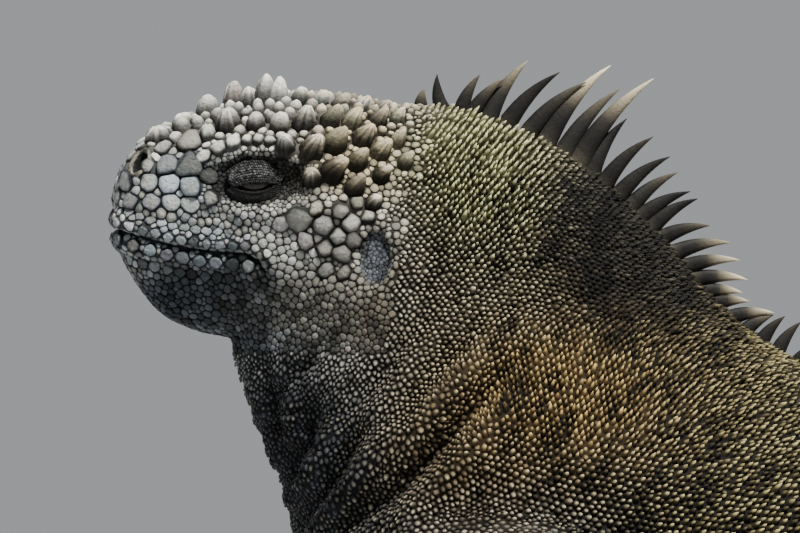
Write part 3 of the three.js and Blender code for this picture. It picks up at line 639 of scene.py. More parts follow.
def makeSkin():
    joined = bmesh.new()
    for points, faces, caps in bodySolids():
        joined.from_mesh(meshOf("solid", points, faces, caps))
    rough = bpy.data.meshes.new("rough")
    bmesh.ops.recalc_face_normals(joined, faces=joined.faces)
    joined.to_mesh(rough)
    joined.free()
    carrier = bpy.data.objects.new("rough", rough)
    bpy.context.scene.collection.objects.link(carrier)
    remesh = carrier.modifiers.new("remesh", "REMESH")
    remesh.mode, remesh.voxel_size = "VOXEL", skinPlan["voxel"] * mm
    graph = bpy.context.evaluated_depsgraph_get()
    mesh = bpy.data.meshes.new_from_object(carrier.evaluated_get(graph))
    bpy.data.objects.remove(carrier)
    stage(f"skin remeshed, {len(mesh.polygons)} faces")

    # finer faces on the head, where the folds are small
    fine = bmesh.new()
    fine.from_mesh(mesh)
    edge, low = (skinPlan["headEnd"] + snoutX) * mm, skinPlan["headAbove"] * mm
    chosen = [e for e in fine.edges if all(v.co.x < edge and v.co.z > low for v in e.verts)]
    bmesh.ops.subdivide_edges(fine, edges=chosen, cuts=skinPlan["headCuts"], use_grid_fill=True)
    bmesh.ops.triangulate(fine, faces=[f for f in fine.faces if len(f.verts) > 4])
    fine.to_mesh(mesh)
    fine.free()

    points, edges = readPoints(mesh), neighbours(mesh)
    points = relax(points, edges, np.full(len(points), 0.5), skinPlan["evenRounds"])
    crease = np.zeros(len(points))
    for leg in legs:
        for joint, reach in skinPlan["softJoints"]:
            away = np.linalg.norm(points - leg.points[joint], axis=1)
            crease = np.maximum(crease, np.exp(-((away / (reach + 6)) ** 2)))
    behind = points[:, 0] - snoutX
    seam = np.exp(-(((behind - skinPlan["seamBehind"]) / 10) ** 2)) * ease(140, 150, points[:, 2])
    crease = np.maximum(crease, 0.8 * seam)
    points = relax(points, edges, 0.9 * np.clip(crease, 0, 1), skinPlan["softRounds"])
    writePoints(mesh, points)
    normals = readNormals(mesh)
    points = points + normals * sculpt(points, normals)[:, None]
    points[:, 2] = np.maximum(points[:, 2], 0.02)
    writePoints(mesh, points)
    mesh.shade_smooth()
    return mesh


# Markings, chosen as linear colours: soft patches in the side view over a few grounds
grounds = {
    "flank": (0.024, 0.0185, 0.0105),
    "belly": (0.13, 0.115, 0.085),
    "limb": (0.04, 0.043, 0.047),
    "tail": (0.04, 0.036, 0.029),
    "head": (0.27, 0.28, 0.275),
}
patches = [
    # behind, height, reach along, reach up, colour, strength
    ["snout", 10, 186, 22, 14, (0.25, 0.275, 0.29), 0.9],
    ["snout side", 18, 186, 8, 6, (0.15, 0.185, 0.22), 0.85],
    # snout top: partly the salt-crusted grey of the head, partly painted highlight on its top
    ["snout top", 10, 197, 12, 4, (0.4, 0.4, 0.38), 0.8],
    ["lips", 18, 170, 26, 6, (0.14, 0.165, 0.19), 0.9],
    # chin and throat: partly the animal's dark throat, partly painted shade under the jaw
    ["chin", 22, 156, 24, 9.5, (0.032, 0.039, 0.05), 1],
    ["throat", 36, 142, 14, 20, (0.06, 0.068, 0.078), 1],
    ["cheek", 50, 172, 13, 10, (0.3, 0.31, 0.3), 0.8],
    ["below ear", 66, 163, 6, 10, (0.05, 0.06, 0.075), 0.8],
    ["temple", 56, 183, 6, 4, (0.14, 0.165, 0.2), 0.7],
    ["mouth corner", 32, 162.5, 8, 5, (0.045, 0.054, 0.064), 0.9],
    ["jaw angle", 56, 154, 18, 9, (0.13, 0.13, 0.115), 0.85],
    # crown: partly the salt-crusted grey of the head, partly painted highlight on its top
    ["crown", 30, 200, 20, 8, (0.4, 0.4, 0.375), 0.8],
    ["occiput", 60, 192, 15, 12, (0.22, 0.185, 0.12), 0.9],
    ["nape", 88, 188, 16, 22, (0.13, 0.135, 0.06), 0.9],
    ["neck side", 78, 150, 24, 26, (0.085, 0.074, 0.052), 0.85],
    # neck front: partly the dark throat, partly painted shade under the neck
    ["neck front", 48, 114, 22, 28, (0.022, 0.026, 0.034), 1],
    ["saddle", 138, 166, 24, 20, (0.008, 0.0075, 0.0075), 1],
    ["saddle front", 122, 182, 13, 12, (0.009, 0.0085, 0.008), 0.95],
    ["shoulder", 106, 132, 24, 16, (0.13, 0.088, 0.037), 0.95],
    ["shoulder low", 88, 118, 16, 11, (0.11, 0.073, 0.032), 0.7],
]


def orbitShadeShare(points):
    # how much painted shade falls in the hollow round the eye
    behind, height, out = sideView(points)
    around = oval(behind, height, face["orbit"]) + 0.06 * wobble(points, 5, 61)
    return (1 - ease(0.82, 1.14, around)) * ease(7, 11, out)


def drumShare(points):
    # the sunk disc of the eardrum
    behind, height, out = sideView(points)
    around = oval(behind, height, face["eardrum"]) + 0.08 * wobble(points, 4, 62)
    return (1 - ease(0.85, 1.15, around)) * ease(10, 14, out)


def inkShare(points):
    # black blots over the neck, shoulders and back
    behind = points[:, 0] - snoutX
    blots = wobble(points, 15, 71) + 0.7 * wobble(points, 6, 72) + 0.3 * wobble(points, 2.8, 73)
    return ease(0.3, 1.0, blots) * ease(70, 100, behind) * ease(28, 60, points[:, 2] + 0.2 * behind)


def foldShadeShare(points):
    # how near each point lies to the floor of a fold, for painted shade in the folds
    behind, height, _ = sideView(points)
    share = np.zeros(len(points))
    for path, deep, wide in folds:
        far, fade = toFold(behind, height, path)
        share = np.maximum(share, min(1, deep / 2) * ridge(far, 1.15 * wide) * fade)
    return share * ease(6, 14, np.abs(points[:, 1]))


# The animal's markings, with painted shade in the eye hollow and the folds, and partly on the chin and throat.
def markingsAndPaintedShade(points, normals, limb, tailward):
    behind, height, _ = sideView(points)
    under = ease(0.35, 0.85, -normals[:, 2])[:, None]
    ground = np.array(grounds["flank"]) * np.ones((len(points), 1))
    onHead = 1 - ease(56, 92, behind + 6 * wobble(points, 12, 24))
    onHead = (onHead * ease(116, 146, height + 3 * wobble(points, 10, 26)))[:, None]
    ground = ground * (1 - onHead) + np.array(grounds["head"]) * onHead
    back = ease(120, 210, behind)[:, None]
    ground = ground * (1 - under * back) + np.array(grounds["belly"]) * under * back
    blot = ease(-0.1, 0.5, wobble(points, 34, 21) + 0.5 * wobble(points, 13, 22))[:, None] * back
    ground = ground * (1 - 0.45 * blot) + np.array([0.1, 0.075, 0.03]) * 0.45 * blot
    for _, b, z, reachB, reachZ, colour, strength in patches:
        near = np.exp(-(((behind - b) / reachB) ** 2) - ((height - z) / reachZ) ** 2)
        share = (strength * np.clip(1.4 * near, 0, 1))[:, None] * (1 - back * 0.5)
        ground = ground * (1 - share) + np.array(colour) * share
    # Painted shade: the ground is darkened in the hollow round the eye and on the floors of the folds.
    ground = ground * (1 - 0.93 * orbitShadeShare(points))[:, None] * (1 - 0.65 * foldShadeShare(points))[:, None]
    drum = drumShare(points)[:, None]
    ground = ground * (1 - drum) + np.array([0.07, 0.079, 0.093]) * drum
    ground = ground * (1 - limb[:, None]) + np.array(grounds["limb"]) * limb[:, None]
    ground = ground * (1 - tailward[:, None]) + np.array(grounds["tail"]) * tailward[:, None]
    soot = 0.78 + 0.3 * wobble(points, 9, 23) + 0.2 * wobble(points, 3.5, 25) - 0.6 * inkShare(points)
    return ground * np.clip(soot, 0.14, 1.4)[:, None]


def limbShare(points):
    share = np.zeros(len(points))
    t = np.linspace(0, 1, 24)
    for leg in legs:
        line = spline(leg.points, t * (len(leg.points) - 1))
        radii = spline(leg.radii, t * (len(leg.points) - 1))
        for centre, radius, along in zip(line, radii, t):
            if along < 0.12:
                continue
            away = np.linalg.norm(points - centre, axis=1) / radius
            deep = 0.25 + 0.75 * ease(0.1, 0.55, along)
            share = np.maximum(share, deep * (1 - ease(0.8, 2.0, away + 0.25 * wobble(points, 9, 34))))
        low = (1 - ease(14, 22, points[:, 2])) * (np.linalg.norm(points[:, :2] - leg.ankle[:2], axis=1) < 95)
        share = np.maximum(share, low * (np.abs(points[:, 1]) > np.abs(leg.ankle[1]) - 34))
    return share


def tailShare(points):
    return ease(60, 130, points[:, 0])


# Scales: each is a row of one table. They grow until they meet their neighbours along a groove.
class Scales:
    names = ("root", "normal", "way", "size", "stretch", "high", "hook", "domed", "gain", "kind")

    def __init__(self):
        self.parts = {name: [] for name in self.names}

    def add(self, **values):
        count = len(values["root"])
        for name in self.names:
            value = np.asarray(values[name], float)
            wide = (count, 3) if name in ("root", "normal", "way") else (count,)
            self.parts[name].append(np.broadcast_to(value, wide))

    def join(self):
        for name in self.names:
            setattr(self, name, np.concatenate(self.parts[name]))

    def keep(self, chosen):
        for name in self.names:
            setattr(self, name, getattr(self, name)[chosen])


kinds = {"tubercle": 0, "plate": 1, "lip": 2, "bead": 3, "body": 4, "room": 9}
ringAngles = np.linspace(0, 2 * math.pi, 160, endpoint=False)


def spread(ring, count, shift):
    # points at even distances round a closed ring
    loop = np.vstack([ring, ring[:1]])
    lengths = np.concatenate([[0], np.cumsum(np.linalg.norm(np.diff(loop, axis=0), axis=1))])
    spots = (np.arange(count) + shift) / count * lengths[-1]
    return np.stack([np.interp(spots, lengths, loop[:, axis]) for axis in range(3)], 1)


def rowsOver(ringAt, start, end, pitchAt, fine=400):
    # staggered rows of scale roots over a form, with the way that runs along it
    stops = np.linspace(start, end, fine)
    rings = [ringAt(t, ringAngles) for t in stops]
    travelled, wanted, row = 0.0, 0.0, 0
    for n in range(1, fine):
        travelled += np.linalg.norm(rings[n] - rings[n - 1], axis=1).mean()
        if travelled < wanted:
            continue
        pitch = float(pitchAt(stops[n]))
        wanted = travelled + pitch * 0.84
        row += 1
        around = np.linalg.norm(np.diff(np.vstack([rings[n], rings[n][:1]]), axis=0), axis=1).sum()
        count = max(6, round(around / pitch))
        points = spread(rings[n], count, 0.5 * (row % 2))
        way = unit(rings[min(n + 3, fine - 1)] - rings[max(n - 3, 0)]).mean(0)
        yield points + dice.normal(scale=0.13 * pitch, size=points.shape), way, pitch


def bodyZones(points):
    # the spiky nape, the ochre shoulder, the throat and the flank, each as a share
    behind, height, _ = sideView(points)
    nape = np.clip(mound(behind, height, (92, 186), (16, 20)) * 1.3, 0, 1)
    ochre = np.clip(mound(behind, height, (112, 133), (30, 17)) * 1.3, 0, 1)
    throat = np.clip(mound(behind, height, (44, 120), (17, 32)) * 1.2, 0, 1)
    return nape, ochre * (1 - throat), throat, ease(105, 150, behind)


def saddleShare(points):
    # the dark cloak below the crest of the shoulders
    behind, height, _ = sideView(points)
    ragged = 1 + 0.35 * wobble(points, 11, 33)
    return np.clip(2.1 * mound(behind, height, (134, 169), (27, 23)) * ragged, 0, 1)


def bodyPitch(t):
    behind = float(spline(np.array(bodyForm)[:, 0], np.full(1, t))[0])
    return float(np.interp(behind, [60, 90, 125, 165, 215, 290, 400], [1.42, 1.42, 1.5, 1.75, 2.2, 2.5, 2.7]))


bodyCoat = {
    "first": 1.1,
    "beforeEnd": 1.4,
    "steps": 1400,
    "largeShare": 0.05,
    "large": (1.3, 1.6),
    "largeGain": 1.6,
    "size": (0.84, 1.18),
    "height": (0.75, 1.3),
    # nape, ochre, throat and flank: the lean of the scales and how much each adds to height, hook and pale tip;
    # the pale tip is partly the scales' own colour and partly painted highlight, and the throat's cut to it is
    # partly painted shade
    "lean": {"nape": [0.6, 0, 1.9], "ochre": [-0.1, 0, 1.7], "throat": [0, 0, -0.6], "flank": [0.8, 0, 0.85]},
    "high": [1.05, 1.9, 0.6, -0.35, 0.3],
    "hook": [0.65, 0.5, 0.6, 0, 0.65],
    "gain": [0.58, 0.6, 0.35, -0.48, 0.25],
    "saddle": 0.92,
}


def bodyRows(scales):
    coat = bodyCoat
    last = len(bodyForm) - coat["beforeEnd"]
    for points, way, pitch in rowsOver(lambda t, a: formRing(bodyForm, t, a), coat["first"], last, bodyPitch,
                                       coat["steps"]):
        count = len(points)
        nape, ochre, throat, flank = bodyZones(points)
        lean = {key: np.outer(zone, coat["lean"][key]) for key, zone in
                (("flank", flank), ("nape", nape), ("ochre", ochre), ("throat", throat))}
        ways = way * 0.6 + lean["flank"] + lean["nape"] + lean["ochre"] + lean["throat"]
        large = np.where(dice.random(count) < coat["largeShare"], dice.uniform(*coat["large"], count), 1.0)
        size = 0.5 * pitch * dice.uniform(*coat["size"], count) * large
        high, hook, gain = (coat[key][0] + coat[key][1] * nape + coat[key][2] * ochre + coat[key][3] * throat
                            + coat[key][4] * flank for key in ("high", "hook", "gain"))
        high = high * dice.uniform(*coat["height"], count)
        gain = gain * np.where(large > 1, coat["largeGain"], 1.0) * (1 - coat["saddle"] * saddleShare(points))
        domed = 0.4 - 0.32 * np.clip(nape + ochre + flank, 0, 1)
        scales.add(root=points, normal=0, way=unit(ways), size=size, stretch=1.06 + 0.2 * flank + 0.12 * ochre,
                   high=high * size, hook=hook, domed=domed, gain=gain, kind=kinds["body"])


limbCoat = {
    # pitch, steps, high, hook, domed, stretch, gain
    "tail": [None, 900, 0.5, 0.8, 0.25, 1.2, 0.25],  # its pitch changes along it
    "leg": [1.9, 500, 0.62, 0.55, 0.5, 1.1, 0.6],
    "palm": [1.7, 200, 0.55, 0.3, 0.6, 1.05, 0.2],
    "toe": [2.1, 120, 0.45, 0.3, 0.55, 1.15, 0.2],
    "tailPitch": [[0, 120, 400, 575], [2.9, 3.2, 2.4, 1.3]],
}


def addRows(scales, part, ringAt, start, end, pitchAt=None):
    even, steps, high, hook, domed, stretch, gain = limbCoat[part]
    for points, way, pitch in rowsOver(ringAt, start, end, pitchAt or (lambda t: even), steps):
        size = 0.5 * pitch * dice.uniform(0.86, 1.16, len(points))
        ways = np.tile(unit(way), (len(points), 1))
        scales.add(root=points, normal=0, way=ways, size=size, stretch=stretch, high=high * size, hook=hook,
                   domed=domed, gain=gain, kind=kinds["body"])


def limbRows(scales):
    addRows(scales, "tail", tailRing, 4, tail["length"] - 1, lambda s: np.interp(s, *limbCoat["tailPitch"]))
    for leg in legs:
        addRows(scales, "leg", leg.ring, 0.06, 1.0)
        addRows(scales, "palm", lambda t, a: palmRing(leg, t, a), -0.9, 0.9)
        for start, way, reach in leg.toes():
            addRows(scales, "toe", lambda s, a: leg.toeRing(start, way, reach, s, a), -5, reach - 0.5)


def onSkin(tree, points, reach):
    # the nearest place on the skin for each point, the way it faces, and whether it is near enough
    found = np.empty((len(points), 7))
    for n, point in enumerate(points):
        spot, normal, _, away = tree.find_nearest(Vector(point * mm))
        found[n] = (*spot, *normal, away)
    return found[:, :3] / mm, found[:, 3:6], found[:, 6] / mm < reach


def treeOf(points):
    tree = KDTree(len(points))
    for n, point in enumerate(points):
        tree.insert(point, n)
    tree.balance()
    return tree


def thin(points, sizes):
    # drops a scale whose middle lies on one laid before it
    tree = treeOf(points)
    keep = np.ones(len(points), bool)
    for n, point in enumerate(points):
        if not keep[n]:
            continue
        for _, other, away in tree.find_range(point, sizes[n] * 1.2):
            if other > n and away < 1.15 * min(sizes[n], sizes[other]):
                keep[other] = False
    return keep


headScales = {
    # the larger tubercles and plates seen in the photograph: behind, height, width, relief, roundness
    "tubercle": [
        [11, 196, 7, 3.4, 0.6], [17, 199.5, 5.6, 3.2, 0.6], [22.8, 202, 6, 5.2, 0.5],
        [28.5, 199.5, 6.6, 4.6, 0.5], [29.6, 204, 5.4, 6.8, 0.45], [33.4, 204.5, 5, 4.8, 0.45],
        [37.5, 205, 5.6, 7.4, 0.45], [40.9, 204.9, 4.8, 6.8, 0.45], [42.7, 193.5, 5.4, 4.6, 0.4],
        [47.5, 199.5, 5.4, 5.4, 0.4], [54, 200, 5, 4.8, 0.35], [58.8, 199.5, 5, 5.2, 0.35],
        [55, 194.6, 6.2, 5.4, 0.35], [61.8, 195.8, 5.2, 4.8, 0.35], [65.4, 200, 4.6, 4.6, 0.35],
        [49, 192.6, 6.2, 5.4, 0.4], [60.5, 190, 5.4, 4.8, 0.35], [66.2, 192.5, 4.8, 4.6, 0.35],
        [54.3, 187.6, 6.2, 5.6, 0.4], [60, 183.5, 5, 4.8, 0.4], [66.5, 186.5, 4.2, 3.8, 0.4],
        [64.6, 180, 4, 3.2, 0.45], [49.4, 186.2, 5.2, 3.8, 0.5], [70.5, 195, 4.2, 4.2, 0.35],
        [70.5, 200.5, 4, 3.8, 0.35], [35.5, 199.5, 4.6, 3.6, 0.55], [41.5, 199, 4.8, 4.2, 0.5],
        [23.5, 197, 4.4, 2.6, 0.7], [46, 205, 4.6, 4.2, 0.45], [51, 204.6, 4.4, 4, 0.4],
        [56.3, 204.2, 4.4, 3.8, 0.4], [61.5, 203.6, 4.2, 3.8, 0.4], [66.6, 203, 4, 3.4, 0.4],
        [72.4, 190, 3.8, 3.4, 0.4],
    ],
    "plate": [
        [30, 194.8, 3.6, 1.8, 0.7], [33.4, 195.4, 2.6, 1.6, 0.7], [36.2, 195.5, 2.6, 1.6, 0.7],
        [39, 195.1, 2.6, 1.6, 0.7], [26.5, 193.8, 3.4, 1.6, 0.7], [22.8, 192, 3, 1.3, 0.8],
        [19.5, 195.2, 6.4, 1.5, 0.85], [13.7, 189.4, 5, 1.4, 0.85], [19.3, 189.4, 5.8, 1.4, 0.9],
        [14.2, 184.8, 4.6, 1.2, 0.9], [19.4, 184.4, 4.8, 1.2, 0.9], [12.6, 193.6, 3.8, 1.5, 0.8],
        [8.9, 184.9, 4, 1.1, 0.9], [3.2, 185.5, 3.6, 1.1, 0.9], [24.2, 186.6, 3.6, 1, 0.9],
        [9.6, 180.4, 3.8, 1, 0.9], [4.4, 180.4, 3.6, 1, 0.9], [14.6, 180.2, 3.8, 1, 0.9],
        [19.6, 179.6, 3.8, 1, 0.9], [24.6, 181.6, 3.4, 1, 0.9], [46.2, 176, 5.8, 1.5, 0.75],
        [52.4, 174.6, 4.8, 1.9, 0.6], [56.5, 178.2, 3.8, 1.6, 0.6], [59.4, 175, 4.3, 1.8, 0.55],
        [56, 171.6, 3.4, 1.6, 0.6], [57.2, 167.6, 4, 1.6, 0.6], [60.6, 180.4, 3.2, 1.4, 0.6],
        [63.6, 176.6, 3.2, 1.4, 0.6], [52.8, 168.8, 4, 1.5, 0.65], [48, 170.8, 3.6, 1.3, 0.7],
        [41.6, 174.8, 3.4, 1.1, 0.8], [50.8, 178.9, 3.4, 1.3, 0.7], [60.2, 170.6, 3.2, 1.4, 0.6],
        [53.4, 163.6, 3.4, 1.3, 0.65], [57.6, 162.6, 3.2, 1.3, 0.65],
    ],
}
lipRows = [
    # shift from the mouth, pitch, width, relief
    [2.0, 3.9, 2.5, 0.9],
    [5.0, 3.4, 2.2, 0.7],
    [-2.5, 5.0, 3.5, 0.8],
    [-6.2, 3.8, 2.4, 0.6],
]


def headPitch(points):
    behind, height, out = sideView(points)
    size = np.full(len(points), 1.6)
    size += 1.3 * ease(193, 199, height) * (1 - ease(60, 78, behind))
    size += 0.8 * (1 - ease(14, 24, behind)) * ease(172, 180, height) - 0.25 * (1 - ease(150, 166, height))
    size *= np.where((oval(behind, height, face["orbit"]) < 1.15) & (out > 8), 0.6, 1)
    chin = (1 - ease(150, 160, height)) * (1 - ease(24, 36, behind))
    return size * (1 + 0.25 * chin) * (1 - 0.5 * drumShare(points))


def bare(points):
    # no scales stand on the eye or in the nostril
    behind, height, out = sideView(points)
    shut = oval(behind, height, {"at": face["eye"], "half": (6.6, 4.8)}) < 1
    nose = (oval(behind, height, face["nostril"]) < 1.65) & (behind < face["nostril"]["end"])
    return (shut & (out > 9)) | nose


class LaidRoots:
    # the roots laid so far, in cells, so that a new one can be kept clear of them
    cell = 4.0

    def __init__(self, tree):
        self.tree, self.cells, self.laid = tree, {}, []

    def clear(self, point, radius, closeness):
        i, j, k = (int(v // self.cell) for v in point)
        near = [other for x in (-1, 0, 1) for y in (-1, 0, 1) for z in (-1, 0, 1)
                for other in self.cells.get((i + x, j + y, k + z), ())]
        return all((p[0] - point[0]) ** 2 + (p[1] - point[1]) ** 2 + (p[2] - point[2]) ** 2
                   >= (closeness * (size + radius)) ** 2 for p, size in near)

    def lay(self, point, normal, radius, relief, domed, kind, room=1.0):
        key = tuple(int(v // self.cell) for v in point)
        self.cells.setdefault(key, []).append((tuple(point), radius * room))
        self.laid.append([*point, *normal, radius, relief, domed, kinds[kind]])

    def fromSide(self, behind, height, side):
        start = place(behind, side * 60, height)
        spot, normal, _, _ = self.tree.ray_cast(Vector(start * mm), Vector((0, -side, 0)))
        if spot is None:
            spot, normal, _, _ = self.tree.find_nearest(Vector(place(behind, side * 3, height + 2) * mm))
        return np.array(spot) / mm, np.array(normal)


def triangles(mesh):
    mesh.calc_loop_triangles()
    tris = np.empty(len(mesh.loop_triangles) * 3, np.int32)
    mesh.loop_triangles.foreach_get("vertices", tris)
    return tris.reshape(-1, 3)


def scatter(tris, points, normals, count):
    # chance places on some triangles, and the way that the skin faces there
    corners = points[tris]
    area = np.linalg.norm(np.cross(corners[:, 1] - corners[:, 0], corners[:, 2] - corners[:, 0]), axis=1)
    pick = dice.choice(len(tris), count, p=area / area.sum())
    mix = dice.dirichlet((1, 1, 1), count)[:, :, None]
    return (corners[pick] * mix).sum(1), unit((normals[tris[pick]] * mix).sum(1))


beadRounds = [[0.92, 1.0, 26000], [0.9, 0.66, 30000]]  # closeness, size and tries: large beads first
plateRoom = {"plate": 1.28, "tubercle": 1.1}


def headRoots(tree, mesh):
    head = LaidRoots(tree)
    for kind, table in headScales.items():
        for side in (-1, 1):
            for b, z, width, relief, domed in table:
                b, z = np.array([b, z]) + dice.normal(scale=0.4 if side > 0 else 0.01, size=2)
                spot, normal = head.fromSide(b, z, side)
                if head.clear(spot, width / 2, 0.62):
                    head.lay(spot, normal, width / 2, relief, domed, kind, plateRoom[kind])
    mouth = np.array(face["mouth"])
    for side in (-1, 1):
        for b in np.arange(0.4, 38, 0.9):
            head.lay(*head.fromSide(b, np.interp(b, *mouth.T), side), 0.45, 0, 0, "room")
        for shift, pitch, width, relief in lipRows:
            for b in np.arange(1.1, 35 if abs(shift) < 3 else 30, pitch * 0.82):
                spot, normal = head.fromSide(b, np.interp(b, *mouth.T) + shift, side)
                if head.clear(spot, width / 2, 0.7):
                    head.lay(spot, normal, width / 2, relief, 0.9, "lip")

    tris, points, normals = triangles(mesh), readPoints(mesh), readNormals(mesh)
    middle = points[tris].mean(1)
    chosen = tris[(middle[:, 0] - snoutX < 80) & (middle[:, 2] > 141)]
    for closeness, shrink, count in beadRounds:
        spots, faces = scatter(chosen, points, normals, count)
        sizes = headPitch(spots) * dice.uniform(0.84, 1.24, count) * shrink
        keep = ~bare(spots) & headArea(spots)
        order = np.argsort(-sizes)
        for n in order[keep[order]]:
            if head.clear(spots[n], sizes[n] / 2, closeness):
                high = float(ease(192, 200, spots[n, 2])) * float(1 - ease(70, 84, spots[n, 0] - snoutX))
                relief = sizes[n] / 2 * (0.5 + 1.25 * high) * (1 - 0.6 * drumShare(spots[n:n + 1])[0])
                head.lay(spots[n], faces[n], sizes[n] / 2, relief, 0.9 - 0.5 * high, "bead")
    return np.array(head.laid)


def headArea(points):
    behind, height, _ = sideView(points)
    ragged = behind + 3.2 * wobble(points, 9, 31)
    return (ragged < 70) & (height > 143) | (ragged < 78) & (height > 186) | (drumShare(points) > 0.3)


def outlines(scales, sides, chosen, near=12):
    # how far each chosen scale reaches, in each direction round it, before it meets a neighbour
    tree = treeOf(scales.root)
    index = np.array([[other for _, other, _ in tree.find_n(scales.root[n], near + 1)] for n in chosen])
    root, normal = scales.root[chosen], scales.normal[chosen]
    ahead = unit(scales.way[chosen] - normal * (scales.way[chosen] * normal).sum(1)[:, None])
    across = np.cross(normal, ahead)
    off = scales.root[index] - root[:, None, :]
    u, v = (off * ahead[:, None, :]).sum(2), (off * across[:, None, :]).sum(2)
    away = np.sqrt(u * u + v * v)
    facing = (scales.normal[index] * normal[:, None, :]).sum(2)
    far = (away < 1e-4) | (facing < 0.1)
    away = np.maximum(away, 1e-4)
    share = scales.size[chosen][:, None] / (scales.size[chosen][:, None] + scales.size[index])
    reach = np.full((len(chosen), sides), np.inf)
    for n in range(sides):
        turn = 2 * math.pi * n / sides
        towards = (math.cos(turn) * u + math.sin(turn) * v) / away
        limit = np.where(far | (towards < 0.05), np.inf, share * away / np.maximum(towards, 0.05))
        reach[:, n] = limit.min(1)
    cap = np.where(scales.kind[chosen] == kinds["tubercle"], 1.2, 1.75)
    reach = np.minimum(reach, (cap * scales.size[chosen])[:, None])
    return 0.72 * reach + 0.14 * (np.roll(reach, 1, 1) + np.roll(reach, -1, 1)), ahead, across


scaleForm = {"shrink": 0.96, "sunk": 0.25, "deeper": 0.12, "lowest": 0.04}


def buildScales(scales, chosen, sides, levels, flutes=0.0, rough=0.0):
    # a leaning scale over each outline, from its sunk foot to its tip
    form = scaleForm
    reach, ahead, across = outlines(scales, sides, chosen)
    root, normal, size = scales.root[chosen], scales.normal[chosen], scales.size[chosen]
    stretch, high = scales.stretch[chosen], scales.high[chosen]
    hook, domed = scales.hook[chosen], scales.domed[chosen]
    turn = np.linspace(0, 2 * math.pi, sides, endpoint=False)
    start = dice.uniform(0, 6.3, len(chosen))[:, None]
    ridges = np.sin(turn * 7 + start) + 0.8 * np.sin(turn * 12 - 2 * start)
    ridges = ridges * (0.55 + 0.45 * np.sin(5 * start))
    layers, fluteShadings = [], []
    shares = np.linspace(0, 1, levels + 1)
    for share in shares[:-1]:
        narrow = (1 - share**3.4) ** 0.5 * domed + (1 - share) * (1 - domed)
        rise = high * (np.sin(share * math.pi / 2) ** 0.7 * domed + share * (1 - domed))
        if share == 0:
            rise = rise - form["sunk"] * high - form["deeper"]
        fluted = 1 + flutes * ridges * (1 - 0.6 * share) * (share > 0)
        wide = reach * form["shrink"] * narrow[:, None] * fluted
        forward = wide * np.cos(turn) * stretch[:, None] + (hook * size * share**1.25)[:, None]
        ring = root[:, None, :] + normal[:, None, :] * rise[:, None, None]
        ring = ring + ahead[:, None, :] * forward[:, :, None]
        layers.append(ring + across[:, None, :] * (wide * np.sin(turn))[:, :, None])
        # the flute pattern, kept for painted highlight on the ridges and painted shade in the grooves
        fluteShadings.append(ridges * min(1, flutes * 12))
    tip = root + normal * high[:, None] + ahead * (hook * size)[:, None]
    points = np.concatenate([*layers, tip[:, None, :]], 1)
    if rough:
        dents = wobble(points.reshape(-1, 3), 1.1, 41) + wobble(points.reshape(-1, 3), 2.6, 42)
        points = points + normal[:, None, :] * (rough * dents).reshape(len(chosen), -1, 1)
    points[:, :, 2] = np.maximum(points[:, :, 2], form["lowest"])
    faces = []
    for r in range(levels - 1):
        for s in range(sides):
            a, b = r * sides + s, r * sides + (s + 1) % sides
            faces += [[a, b, b + sides], [a, b + sides, a + sides]]
    last = (levels - 1) * sides
    faces += [[last + s, last + (s + 1) % sides, levels * sides] for s in range(sides)]
    per = points.shape[1]
    everyFace = (np.array(faces)[None] + (np.arange(len(chosen)) * per)[:, None, None]).reshape(-1, 3)
    level = np.tile(np.array([*np.repeat(shares[:-1], sides), 1.0]), len(chosen))
    flat = np.concatenate([np.tile(np.stack([np.cos(turn), np.sin(turn)], 1), (levels, 1)), [[0, 0]]])
    fluteShading = np.concatenate([*fluteShadings, np.zeros((len(chosen), 1))], 1).ravel()
    return {"points": points.reshape(-1, 3), "faces": everyFace, "level": level, "per": per, "flat": flat,
            "fluteShading": fluteShading}


def bakePlace(points):
    # where a root lies on an unwrap of the skin: the body and tail as one strip, each leg as its own
    behind = points[:, 0] - snoutX
    axis = np.interp(behind, [0, 60, 150, 300, 400], [178, 165, 100, 40, 25])
    turn = np.arctan2(points[:, 1], points[:, 2] - axis)
    u = 0.02 + 0.96 * behind / 960
    v = 0.02 + 0.56 * (turn / (2 * math.pi) + 0.5)
    for n, leg in enumerate(legs):
        top, low = leg.points[1], leg.ankle
        near = np.abs(points[:, 1]) > np.abs(leg.points[1][1]) - 6
        near &= (points[:, 1] * leg.side > 0) & (np.abs(points[:, 0] - (top + low)[0] / 2) < 75)
        around = np.arctan2(points[:, 1] - low[1], points[:, 0] - low[0])
        u = np.where(near, 0.02 + 0.24 * n + 0.2 * (points[:, 2] / 110), u)
        v = np.where(near, 0.62 + 0.35 * (around / (2 * math.pi) + 0.5), v)
    return np.stack([u, v], 1)


def scalePieces(name, slot, finish, roots, built, tone, limit=190000):
    per, flat = built["per"], built["flat"]
    facesPer = len(built["faces"]) // len(roots)
    most = limit // facesPer
    uv = bakePlace(roots)
    for part, start in enumerate(range(0, len(roots), most)):
        end = min(len(roots), start + most)
        faces = built["faces"][start * facesPer:end * facesPer] - start * per
        mesh = meshOf(name, built["points"][start * per:end * per], faces)
        spots = np.repeat(uv[start:end], per, 0) + 0.0015 * np.tile(flat, (end - start, 1))
        layer = mesh.uv_layers.new(name="OFBake")
        layer.data.foreach_set("uv", spots[faces.ravel()].astype(np.float32).ravel())
        label = name if len(roots) <= most else f"{name}{part + 1}"
        piece(label, mesh, finish, slot, tone[start * per:end * per])


